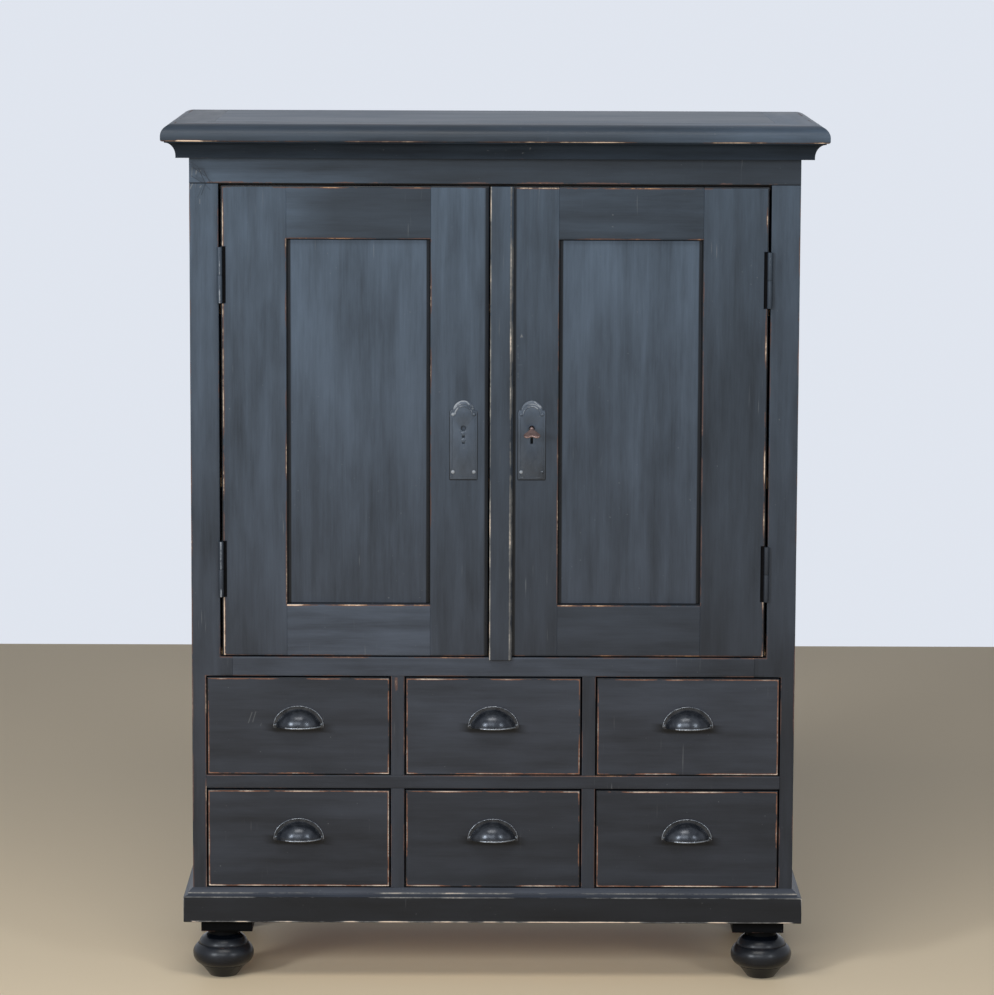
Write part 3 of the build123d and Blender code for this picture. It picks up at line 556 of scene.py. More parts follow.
def finishBoard(name, bm, body, nodes, material, lines=(), slot="painted_pine", big=0.0012, small=0.0004,
                reach=0.004, sag=0.0002, shade=1.0, grime=(), grimeReach=0.007, grimeFlat=0.6, marks=None,
                rim=(), rimReach=0.0011, strokes=()):
    # lines are the edges to round. They are also worn, unless marks gives other worn lines. Rim lines are
    # painted dark as shade.
    roundOff(bm, lines, big, small)
    lines = marks or lines
    widths = ((lines, (reach,)), (grime, (grimeReach, grimeReach * grimeFlat)),
              (rim, (rimReach * 0.95, rimReach + 0.0006)))
    for axis in range(3):
        low, high = min(v.co[axis] for v in bm.verts), max(v.co[axis] for v in bm.verts)
        places = spread(low, high, 0.04) if high - low > 0.12 else []
        for found, reaches in widths:
            for start, end in (line[:2] for line in found):
                if abs(start[axis] - end[axis]) > 1e-6:
                    places += [start[axis], end[axis]]
                else:
                    places += [start[axis] + way * width for way in (-1, 1) for width in reaches]
        places = sorted(p for p in places if low + 4e-4 < p < high - 4e-4)
        cutAt(bm, axis, [p for i, p in enumerate(places) if i == 0 or p - places[i - 1] > 2e-4])
    markLines(bm, "wear", lines, reach)
    markLines(bm, "grime", grime, grimeReach, grimeFlat)
    if rim:
        layer = bm.verts.layers.float["grime"]
        for vert in bm.verts:
            if any(distanceTo(vert.co, *line[:2]) < rimReach for line in rim):
                vert[layer] = 1.0
    if strokes:
        addStrokes(bm, strokes)
    waver(bm, sag, 0.05, pieceCount * 1.3)
    return putPiece(name, bm, body, nodes, material, shade=shade)


def board(name, body, nodes, low, high, material, worn=None, inset=0.0, **more):
    lines = edgeLines(low, high, worn or {})
    if inset:
        # the arrises themselves are painted dark as shade, and the wear sits just inside them
        inwards = Vector((inset, 0.0, inset))
        more["marks"] = edgeLines(Vector(low) + inwards, Vector(high) - inwards, worn)
        more["rim"] = lines
    return finishBoard(name, cube(low, high), body, nodes, material, lines, **more)


def nodeBoard(node, body, material, worn=None, **more):
    return board(node + "Board", body, [node], *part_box(node), material, worn, **more)


# Main planes, all read from the frame
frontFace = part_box("stile_left")[0].y
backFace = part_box("side_left")[1].y
caseHalf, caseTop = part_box("side_right")[1].x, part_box("side_right")[1].z
caseBottom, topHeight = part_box("side_right")[0].z, cadBox[1].z
drawerRail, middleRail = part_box("drawer_rail"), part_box("middle_rail")


def frontLine(x0, z0, x1, z1, strength):
    return Vector((x0, frontFace, z0)), Vector((x1, frontFace, z1)), strength


def upright(x, z0, z1, strength):
    return column(x, frontFace, z0, z1, strength)


def fadeIn(place, start, reach):
    # 0 up to the start, and 1 from start + reach
    return min(1.0, max(0.0, (place - start) / reach))


for side in ("left", "right"):
    nodeBoard("side_" + side, "case", uprightPaint, {"back " + side: 0.6}, shade=0.95)
nodeBoard("top_board", "case", levelPaint, {"back top": 0.4}, shade=0.8)

backs = {"count": 6, "gap": 0.0008}


def backBoards():
    low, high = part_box("back_boards")
    width = (high.x - low.x + backs["gap"]) / backs["count"]
    for i in range(backs["count"]):
        x = low.x + i * width
        board(f"backBoard{i + 1}", "case", ["back_boards"], (x, low.y, low.z),
              (x + width - backs["gap"], high.y, high.z), uprightPine, {"back left": 0.5, "back right": 0.5},
              slot="raw_pine", big=0.001)


# A painted shade is given for the part beside the door and for the part below it: the right stile is darker,
# and darker still below the door.
stile = {"doorWidth": 0.0465, "shades": {"left": (1.0, 1.0), "right": (0.8, 0.66)},
         "cracks": [(-0.4885, 1.2995, -0.4845, 1.3075, 2.0), (-0.4725, 1.3020, -0.4705, 1.3045, 1.8),
                    (-0.4728, 1.2760, -0.4728, 1.2830, 1.1), (-0.4700, 1.2900, -0.4640, 1.3080, -0.8),
                    (-0.4760, 1.2860, -0.4700, 1.3000, -0.6), (-0.4560, 1.2980, -0.4640, 1.3060, -0.7)]}


def stiles():
    # Narrow beside the drawers, a foot under the door opening, wider beside the door.
    low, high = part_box("stile_right")
    inner, foot, opening = drawerRail[1].x, middleRail[1].x, caseHalf - stile["doorWidth"]
    railLow, railHigh = middleRail[0].z, middleRail[1].z
    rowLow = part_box("drawer_dividers")[0].z
    for side, name in ((-1, "left"), (1, "right")):
        outline = [(caseHalf, low.z), (caseHalf, high.z), (opening, high.z), (opening, railHigh),
                   (foot, railHigh), (foot, railLow), (inner, railLow), (inner, low.z)]
        bm = solidFrom([(side * x, frontFace, z) for x, z in outline], (0, high.y - low.y, 0))
        spans = [(caseHalf, low.z, caseHalf, high.z, 0.78), (opening, railHigh, opening, high.z, 0.6),
                 (opening, railHigh, foot, railHigh, 0.7), (inner, railLow, foot, railLow, 0.5),
                 (inner, rowLow, inner, drawerRail[0].z, 0.8), (inner, drawerRail[1].z, inner, railLow, 0.7)]
        lines = [frontLine(side * x0, z0, side * x1, z1, strength) for x0, z0, x1, z1, strength in spans]
        upper, lower = stile["shades"][name]
        finishBoard("stile_" + name + "Board", bm, "case", ["stile_" + name], uprightPaint, lines,
                    strokes=stile["cracks"] if side < 0 else (),
                    shade=lambda at: upper if at.z > railHigh + 0.01 else lower)


# The frieze is cracked and smoky at its left end.
frieze = {"cracks": [(-0.4790, 1.3230, -0.4780, 1.3290, 1.8), (-0.4735, 1.3260, -0.4715, 1.3290, 1.4),
                     (-0.4860, 1.3180, -0.4850, 1.3330, 0.9), (-0.4640, 1.3080, -0.4750, 1.3330, -0.9),
                     (-0.4560, 1.3090, -0.4660, 1.3280, -0.9), (-0.4640, 1.3200, -0.4840, 1.3340, -0.8),
                     (-0.4700, 1.3100, -0.4860, 1.3200, -0.8), (-0.4500, 1.3080, -0.4600, 1.3160, -0.7),
                     (-0.4760, 1.3350, -0.4870, 1.3420, -0.7)],
          "smoke": [(-0.484, 1.336, -0.470, 1.326, 0.45), (-0.478, 1.318, -0.466, 1.312, 0.45),
                    (-0.470, 1.332, -0.462, 1.320, 0.45)]}


def rails():
    smoke = [frontLine(*spot) for spot in frieze["smoke"]]
    # The frieze has a painted shadow along its top edge under the cove, its bottom arris is painted dark as
    # shade above the doors, and its shade is painted lighter towards the left end. The rails below are painted
    # darker towards the right and lower down.
    nodeBoard("frieze_rail", "case", levelPaint, {"front bottom": 0.72}, strokes=frieze["cracks"],
              inset=0.0022, rimReach=0.0013, shade=lambda at: 0.30 + 0.50 * fadeIn(-at.x, 0.1, 0.3),
              grime=edgeLines(*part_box("frieze_rail"), {"front top": 0.9}) + smoke, grimeReach=0.005)
    nodeBoard("middle_rail", "case", levelPaint, {"front top": 0.85, "front bottom": 0.65},
              shade=lambda at: 1.36 - 0.62 * fadeIn(at.x, 0.24, 0.14))
    nodeBoard("drawer_rail", "case", levelPaint, {"front top": 0.85, "front bottom": 0.5}, reach=0.003,
              shade=0.88)
    nodeBoard("bottom_rail", "case", levelPaint, {"front top": 0.6}, shade=0.65)


divider = {"width": 0.022, "patchAt": (0.3, 0.48), "patchSpan": (0.003, 0.016)}


def dividers():
    low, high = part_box("drawer_dividers")
    width, (start, end) = divider["width"], divider["patchSpan"]
    for row, z0, z1 in (("Lower", low.z, drawerRail[0].z), ("Upper", drawerRail[1].z, high.z)):
        for label, x in (("Left", low.x), ("Right", high.x - width)):
            corners = (x, low.y, z0), (x + width, high.y, z1)
            worn = edgeLines(*corners, {"front left": 0.75, "front right": 0.8})
            if (row, label) == ("Upper", "Left"):  # a brown patch at the top
                worn += [upright(x + share * width, z1 - start, z1 - end, 1.0) for share in divider["patchAt"]]
            finishBoard("divider" + row + label, cube(*corners), "case", ["drawer_dividers"], uprightPaint,
                        worn, reach=0.003, shade=0.95)


shelf = {"thick": 0.018}


def shelves():
    low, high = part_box("cupboard_shelves")
    thick = shelf["thick"]
    for label, z in (("Lower", low.z), ("Upper", high.z - thick)):
        board("shelf" + label, "case", ["cupboard_shelves"], (low.x, low.y, z), (high.x, high.y, z + thick),
              levelPine, {"front top": 0.6, "front bottom": 0.6}, slot="raw_pine", big=0.002)


backBoards()
stiles()
rails()
dividers()
shelves()
print("case ready")


# Mouldings: a profile of (out from the case, height) points, run round the front and both sides.
def arcPoints(centre, radii, start, end, count):
    angles = [math.radians(start + (end - start) * i / count) for i in range(count + 1)]
    return [(centre[0] + radii[0] * math.cos(a), centre[1] + radii[1] * math.sin(a)) for a in angles]


def withSupport(points, reach):
    # Extra points near the ends of each long run keep the wear narrow.
    made = []
    for (ax, az), (bx, bz) in zip(points, points[1:] + points[:1]):
        made.append((ax, az))
        length = math.hypot(bx - ax, bz - az)
        if length > 2.5 * reach:
            for share in (reach / length, 1 - reach / length):
                made.append((ax + (bx - ax) * share, az + (bz - az) * share))
    return made


def mouldingRuns(name, node, profile, arrises, shade=1.0, streaks=(), corners=(), looks=(edgePaint, deepPaint),
                 sag=0.0003, reach=0.003, grime=()):
    def corner(side, out, z):
        return Vector((side * (caseHalf + out), frontFace - out, z))

    def back(side, out, z):
        return Vector((side * (caseHalf + out), backFace, z))

    runs = {"Front": (lambda out, z: corner(-1, out, z), lambda out, z: corner(1, out, z), 0),
            "Left": (lambda out, z: corner(-1, out, z), lambda out, z: back(-1, out, z), 1),
            "Right": (lambda out, z: corner(1, out, z), lambda out, z: back(1, out, z), 1)}
    for label, (start, end, axis) in runs.items():
        bm = bmesh.new()
        face = bm.faces.new([bm.verts.new(start(out, z)) for out, z in withSupport(profile, reach)])
        made = bmesh.ops.extrude_face_region(bm, geom=[face])["geom"]
        for vert in vertsOf(made):
            vert.co = end(abs(vert.co.x) - caseHalf, vert.co.z)
        bmesh.ops.recalc_face_normals(bm, faces=bm.faces)
        span = caseHalf - 0.02
        lines = [(start(out, z), end(out, z), s) for out, z, s in arrises]
        ends = []
        if axis == 0:
            for x0, x1, out, z, strength in streaks:
                lines.append((Vector((x0, frontFace - out, z)), Vector((x1, frontFace - out, z)), strength))
                ends += [x0, x0 - 0.006, x1, x1 + 0.006]
        for out, z0, z1, strength in corners:
            for side in (-1, 1):
                lines.append((corner(side, out, z0), corner(side, out, z1), strength))
                ends.append(side * (caseHalf + out - reach) if axis == 0 else frontFace - out + reach)
        places = spread(-span, span, 0.04) if axis == 0 else spread(frontFace + 0.02, backFace, 0.04)
        cutAt(bm, axis, sorted(set(ends + places)))
        markLines(bm, "wear", lines, reach)
        markLines(bm, "grime", [(start(out, z), end(out, z), s) for out, z, s in grime], reach)
        waver(bm, sag, 0.06, pieceCount * 2.1)
        putPiece(name + label, bm, "case", [node], looks[axis], sharp=28, shade=shade)


thumb = {"arrisOut": 0.021, "outerOut": 0.043, "lip": 0.009, "lipRound": 0.0035, "border": 0.060,
         "joint": 0.0006, "back": 0.012}
arrisOut, outerOut, lipRound, joint = thumb["arrisOut"], thumb["outerOut"], thumb["lipRound"], thumb["joint"]
borderOut, lipTop = arrisOut - thumb["border"], caseTop + thumb["lip"]
topProfile = [(borderOut, caseTop), (borderOut, topHeight - joint), (borderOut + joint, topHeight)]
topProfile += arcPoints((arrisOut, lipTop), (outerOut - arrisOut, topHeight - lipTop), 90, 0, 12)
topProfile += arcPoints((outerOut - lipRound, caseTop + lipRound), (lipRound, lipRound), 0, -90, 4)
topProfile += [(outerOut - thumb["back"], caseTop)]
lipFace = (outerOut - 0.001, caseTop + 0.001)
# A painted shadow line runs along the top of the thumb's round, and the shade is painted lighter towards the
# right end.
mouldingRuns("topMoulding", "top_moulding", topProfile, [(arrisOut + 0.001, topHeight, 0.92), (*lipFace, 0.85)],
             grime=[(arrisOut + 0.0084, topHeight - 0.0019, 0.5)],
             streaks=[(-0.503, -0.470, *lipFace, 1.8), (0.05, 0.43, *lipFace, 1.05),
                      (0.490, 0.520, *lipFace, 1.2)],
             shade=lambda at: 0.48 + 0.5 * fadeIn(at.x, 0.22, 0.2))

cove = {"foot": 0.020, "reach": 0.017, "fillet": 0.003, "quirk": 0.002}
coveLow, coveFoot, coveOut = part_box("cove_moulding")[0].z, cove["foot"], cove["foot"] + cove["reach"]
hollowLow = coveLow + cove["fillet"]
coveProfile = [(0.0, caseTop), (0.0, coveLow), (coveFoot, coveLow), (coveFoot, hollowLow)]
hollowHeight = caseTop - cove["quirk"] - hollowLow
coveProfile += arcPoints((coveOut, hollowLow), (cove["reach"], hollowHeight), 180, 90, 10)[1:]
coveProfile += [(coveOut, caseTop)]
# The cove is painted dark as shade.
mouldingRuns("coveMoulding", "cove_moulding", coveProfile, [(coveFoot, coveLow, 0.4)], shade=0.25,
             looks=(coveRound, coveDeep))

plinth = {"out": 0.015, "bevelReach": 0.008, "bevelDrop": 0.0075, "quirk": 0.0035, "ledge": 0.0025}
plinthOut, bevelOut, plinthTop = plinth["out"], plinth["bevelReach"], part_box("plinth_moulding")[1].z
bevelEnd = plinthTop - plinth["bevelDrop"]
ledgeTop = bevelEnd - plinth["quirk"]
ledgeEnd = ledgeTop - plinth["ledge"]
plinthProfile = [(0.0, caseBottom), (0.0, plinthTop), (bevelOut * 0.5, plinthTop - plinth["bevelDrop"] * 0.45),
                 (bevelOut, bevelEnd), (bevelOut, ledgeTop), (plinthOut - 0.002, ledgeTop - 0.0012),
                 (plinthOut, ledgeEnd), (plinthOut, caseBottom + 0.0012), (plinthOut - 0.0012, caseBottom)]
# The bevel is painted lighter as light from above, and the face below the ledge darker as painted shade.
mouldingRuns("plinth", "plinth_moulding", plinthProfile,
             [(bevelOut, bevelEnd, 0.9), (plinthOut - 0.0006, ledgeEnd + 0.0004, 1.25)],
             streaks=[(-caseHalf, caseHalf, plinthOut, caseBottom + 0.0016, 1.75)],
             corners=[(plinthOut, caseBottom + 0.004, ledgeEnd - 0.002, 0.95)],
             shade=lambda at: 0.3 if at.z < ledgeEnd + 1e-4 else 1.5, looks=(plinthPaint, plinthDeep),
             reach=0.0022)
print("mouldings ready")


# Hardware on the doors
# The knuckle's pale front line is partly wear and partly a painted highlight, and the shades are painted light
# and shade: the left hinge lighter, the right one darker.
hinge = {"knuckle": 0.004, "height": 0.090, "gap": 0.0006, "pin": 0.0022, "leaf": 0.0016, "leafDepth": 0.020,
         "notchWidth": 0.0072, "notchDepth": 0.006, "notchMargin": 0.001, "strap": 0.0025,
         "shades": {"left": 0.9, "right": 0.55}, "worn": {"left": 0.62, "right": 0.35}}


def hingeHeights(side):
    low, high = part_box(side + "_hinge_halves")
    return high.z - hinge["height"] / 2, low.z + hinge["height"] / 2


def hinges():
    for name, side in (("left", -1), ("right", 1)):
        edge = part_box(name + "_hinge_stile")[0 if side < 0 else 1].x
        axisX = side * (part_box("hinge_frame_halves")[1].x - hinge["knuckle"])
        axisY = frontFace - hinge["knuckle"]
        opening = axisX + side * hinge["knuckle"] / 2
        half, gap = hinge["height"] / 2, hinge["gap"] / 2
        for label, z in zip(("Upper", "Lower"), hingeHeights(name)):
            # the lower half stays on the frame with its pin, and the upper half turns with the door
            halves = {"Fixed": (z - half, z - gap, opening, -side, "case", "hinge_frame_halves"),
                      "Moving": (z + gap, z + half, edge, side, name + "_door", name + "_hinge_halves")}
            for part, (z0, z1, leafX, way, body, node) in halves.items():
                bm = bmesh.new()
                rod(bm, (axisX, axisY, z0), (axisX, axisY, z1), hinge["knuckle"], 28, 0.0004)
                if part == "Fixed":
                    rod(bm, (axisX, axisY, z1), (axisX, axisY, z + half - hinge["knuckle"]), hinge["pin"], 12)
                leaf = sorted((leafX, leafX + way * hinge["leaf"]))
                cube((leaf[0], axisY, z0), (leaf[1], frontFace + hinge["leafDepth"], z1), bm)
                # a pale line down the knuckle's front, partly wear and partly a painted highlight
                worn = column(axisX, axisY - hinge["knuckle"], min(z0, z), max(z1, z), hinge["worn"][name])
                markLines(bm, "wear", [worn], 0.003)
                putPiece(name + "Hinge" + label + part, bm, body, [node], hingePaint,
                         shade=hinge["shades"][name])
            # the leaf strap at the back of the door's notch is nearly black, as painted shade in the notch
            strapX = sorted((edge - side * hinge["notchWidth"], edge))
            strapBack = frontFace + hinge["notchDepth"]
            bm = cube((strapX[0], strapBack - hinge["strap"], z - half), (strapX[1], strapBack, z + half))
            putPiece(name + "Hinge" + label + "Strap", bm, name + "_door", [name + "_hinge_halves"],
                     notchShadeIron)


hinges()

# A bead is (distance, radius, angle where it starts) round the arch. Old paint fills the left keyhole.
plate = {"width": 0.044, "height": 0.112, "archRise": 0.016, "archWidth": 0.034, "thick": 0.0015,
         "keyhole": 0.083, "hole": 0.0045, "slotWidth": 0.0044, "slotLength": 0.025, "shoulder": 0.004,
         "step": 0.0015, "nailX": 0.0050, "nailTop": 0.0065, "nailBottom": 0.012, "head": 0.003,
         "headHeight": 0.0018, "bead": 0.0007, "beadInset": 0.0035, "beadTop": 0.012,
         "shadowInset": 0.0012, "shadowTop": 0.004, "shadowFoot": 0.0004,
         "arcs": 0.1046, "arcBeads": ((0.0140, 0.0012, 4), (0.0178, 0.0008, 32)),
         "lumps": (0.0085, 0.0195), "lump": 0.0042, "lumpHeight": 0.0014, "lumpBack": 0.0006}


def keyholeAt(name):
    low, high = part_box(name + "_key_plate")
    return (low.x + high.x) / 2, low.z + plate["keyhole"], low.z


def plateBlank(name):
    # The plate with its keyhole cut out and its front edges eased
    x, keyZ, bottom = keyholeAt(name)
    half, arch, top = plate["width"] / 2, plate["archWidth"] / 2, bottom + plate["height"]
    rise = plate["archRise"]
    radius = (arch * arch + rise * rise) / (2 * rise)
    spanAngle = math.degrees(math.asin(arch / radius))
    outline = [(x - half, bottom), (x + half, bottom), (x + half, top - plate["shoulder"]),
               (x + half - plate["step"], top)]
    outline += arcPoints((x, top + rise - radius), (radius, radius), 90 - spanAngle, 90 + spanAngle, 18)
    outline += [(x - half + plate["step"], top), (x - half, top - plate["shoulder"])]
    slot = plate["slotWidth"] / 2
    slotAngle = math.degrees(math.asin(slot / plate["hole"]))
    hole = arcPoints((x, keyZ), (plate["hole"], plate["hole"]), -90 + slotAngle, 270 - slotAngle, 18)
    hole += [(x - slot, keyZ - plate["slotLength"]), (x + slot, keyZ - plate["slotLength"])]
    bm = bmesh.new()
    for points in (outline, hole):
        ring = [bm.verts.new((px, frontFace, pz)) for px, pz in points]
        for pair in zip(ring, ring[1:] + ring[:1]):
            bm.edges.new(pair)
    bmesh.ops.triangle_fill(bm, use_beauty=True, use_dissolve=False, edges=bm.edges[:])
    made = bmesh.ops.extrude_face_region(bm, geom=bm.faces[:])["geom"]
    bmesh.ops.translate(bm, vec=(0, -plate["thick"], 0), verts=vertsOf(made))
    bmesh.ops.recalc_face_normals(bm, faces=bm.faces)
    rims = [e for e in bm.edges if e.calc_face_angle(0) > 1.2 and
            all(v.co.y < frontFace - plate["thick"] / 2 for v in e.verts)]
    bevel(bm, rims, 0.0003, 2)
    return bm


def keyPlates():
    for name in ("left", "right"):
        bm = plateBlank(name)
        x, keyZ, bottom = keyholeAt(name)
        half, top = plate["width"] / 2, bottom + plate["height"]
        face, before = frontFace - plate["thick"], len(bm.verts)
        centre = Vector((x, face, bottom + plate["arcs"]))
        # The raised arcs and nail heads are marked pale: partly paint rubbed off, partly painted highlights.
        for ring, bead, start in plate["arcBeads"]:
            across = Vector((math.cos(math.radians(start)), 0, math.sin(math.radians(start))))
            sweep = math.radians(180 - 2 * start)
            tube(bm, centre + across * ring, across, centre, (0, -1, 0), sweep, bead, 24)
        markSince(bm, before, 0.95)
        before = len(bm.verts)
        inset, beadLow = half - plate["beadInset"], bottom + plate["beadInset"]
        for sideX in (x - inset, x + inset):
            rod(bm, (sideX, face, beadLow), (sideX, face, top - plate["beadTop"]), plate["bead"], 8)
        rod(bm, (x - inset, face, beadLow), (x + inset, face, beadLow), plate["bead"], 8)
        markSince(bm, before, 0.3)
        before = len(bm.verts)
        for nailX in (x - half + plate["nailX"], x + half - plate["nailX"]):
            for nailZ in (bottom + plate["nailBottom"], top - plate["nailTop"]):
                stud(bm, (nailX, face, nailZ), plate["head"], plate["headHeight"])
        markSince(bm, before, 0.8)
        for drop in plate["lumps"] if name == "left" else ():
            stud(bm, (x, face + plate["lumpBack"], keyZ - drop), plate["lump"], plate["lumpHeight"])
        putPiece(name + "KeyPlate", bm, name + "_door", [name + "_key_plate"], platePaint,
                 shade=1.1)


keyPlates()

key = {"stem": 0.003, "reach": 0.017, "collar": 0.0033, "collarLength": 0.003, "bowWidth": 0.027,
       "bowLength": 0.024, "bowThick": 0.0032, "bowTop": 0.0026, "lobe": 0.0058, "dip": 0.0035, "droop": 26.0,
       "bitRadius": 0.0115, "bitWidth": 0.0065, "bitThick": 0.0025}


def doorKey():
    x, z = keyholeAt("right")[:2]
    tip, bitBack = frontFace - key["reach"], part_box("door_key")[1].y
    bitHalf, thick = key["bitThick"] / 2, key["bowThick"]
    bm = bmesh.new()
    rod(bm, (x, tip, z), (x, bitBack, z), key["stem"], 20, 0.0005)
    collarEnd = frontFace - plate["thick"] - key["collarLength"]
    rod(bm, (x, collarEnd - key["collarLength"], z), (x, collarEnd, z), key["collar"], 20, 0.0008)
    cube((x, bitBack - key["bitWidth"], z - bitHalf), (x + key["bitRadius"], bitBack, z + bitHalf), bm)
    # the bow is flat, shaped like a bell with two lobes, and hangs a little
    half, length, lobe = key["bowWidth"] / 2, key["bowLength"], key["lobe"]
    outline = [(key["bowTop"], 0.0)]
    outline += arcPoints((half - lobe, -length + lobe), (lobe, lobe), 40, -115, 8)
    outline += [(0.0, -length + key["dip"])]
    outline += arcPoints((lobe - half, -length + lobe), (lobe, lobe), -65, -220, 8)
    outline += [(-key["bowTop"], 0.0)]
    bow = solidFrom([(px, py, -thick / 2) for px, py in outline], (0, 0, thick))
    bevel(bow, [e for e in bow.edges if e.calc_face_angle(0) > 1.2], 0.0011, 3)
    droop = Matrix.Rotation(math.radians(key["droop"]), 3, "X")
    bmesh.ops.rotate(bow, verts=bow.verts, cent=(0, 0, 0), matrix=droop)
    bmesh.ops.translate(bow, verts=bow.verts, vec=(x, tip, z))
    merge(bm, bow)
    putPiece("doorKey", bm, "door_key", ["door_key"], rustySteel)


doorKey()


# Doors
door = {"bottomRail": 0.0835, "topRail": 0.085, "recess": 0.009, "quirk": 0.002, "keyDepth": 0.012,
        "filledDepth": 0.002, "boltDepth": 0.0105, "play": 0.0006, "inset": 0.0026, "rim": 0.0019,
        "tongueThick": 0.0045, "tongueBack": 0.0008}
# Painted shade for each door's boards: the right door darker than the left, the top rails darker under the
# cornice and the left one lighter towards its hinge end, and the left bottom rail lighter.
doorLook = {
    "left": {"hingeStile": 1.0, "lockStile": 0.95, "bottomRail": 1.6, "topRail": 0.38, "railEnd": 0.45,
             "panel": 1.07, "lowerEdge": 1.4, "stripShadowReach": 0.0085},
    "right": {"hingeStile": 0.68, "lockStile": 0.76, "bottomRail": 0.78, "topRail": 0.50, "railEnd": 0.0,
              "panel": 1.02, "lowerEdge": 1.15, "stripShadowReach": 0.006}}

# A chip in the paint above the right key plate, with small scratches below it and a painted shadow beside it
chip = {"shadowX": 0.0482, "shadow": (1.0610, 1.0680, 0.28),
        "strokes": [(0.0422, 1.0628, 0.0434, 1.0660, 2.6), (0.0434, 1.0660, 0.0449, 1.0630, 2.2),
                    (0.0436, 1.0668, 0.0436, 1.0676, 1.0), (0.0374, 1.0478, 0.0376, 1.0492, 0.9),
                    (0.0378, 1.0362, 0.0378, 1.0342, 0.6), (0.0380, 1.0306, 0.0380, 1.0290, 0.6),
                    (0.0376, 1.0178, 0.0440, 1.0180, 0.4), (0.0380, 1.0042, 0.0382, 1.0022, 0.7),
                    (0.0380, 0.9994, 0.0380, 0.9974, 0.6)]}


def lockCarving(name, bm):
    # Each lock stile has a keyhole; the left one also takes the bolt, and the right one the lock.
    x, keyZ = keyholeAt(name)[:2]
    boltLow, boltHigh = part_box("lock_bolt")
    caseLow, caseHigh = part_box("lock_case")
    stileBack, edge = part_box("right_lock_stile")[1].y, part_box("left_lock_stile")[1].x
    play, hole, hair = door["play"], plate["hole"] + 0.0005, 0.001
    depth = door["filledDepth"] if name == "left" else door["keyDepth"]
    carvePocket(bm, (x - hole, frontFace - hair, keyZ - plate["slotLength"]),
                (x + hole, frontFace + hair, keyZ + hole), (0, depth, 0))
    if name == "left":
        carvePocket(bm, (edge - hair, boltLow.y - play, boltLow.z - play),
                    (edge + hair, boltHigh.y + play, boltHigh.z + play), (-door["boltDepth"], 0, 0))
    else:
        carveNotch(bm, (caseLow.x, stileBack), (caseHigh.x, caseLow.y), caseLow.z, caseHigh.z)


def plateShadow(name):
    # Dark lines round the key plate, from just under its edge
    x, _, low = keyholeAt(name)
    half, high = plate["width"] / 2 - plate["shadowInset"], low + plate["height"] - plate["shadowTop"]
    foot = low + plate["shadowFoot"]
    return [upright(x - half, low, high, 1.0), upright(x + half, low, high, 1.0),
            frontLine(x - half, foot, x + half, foot, 1.0)]


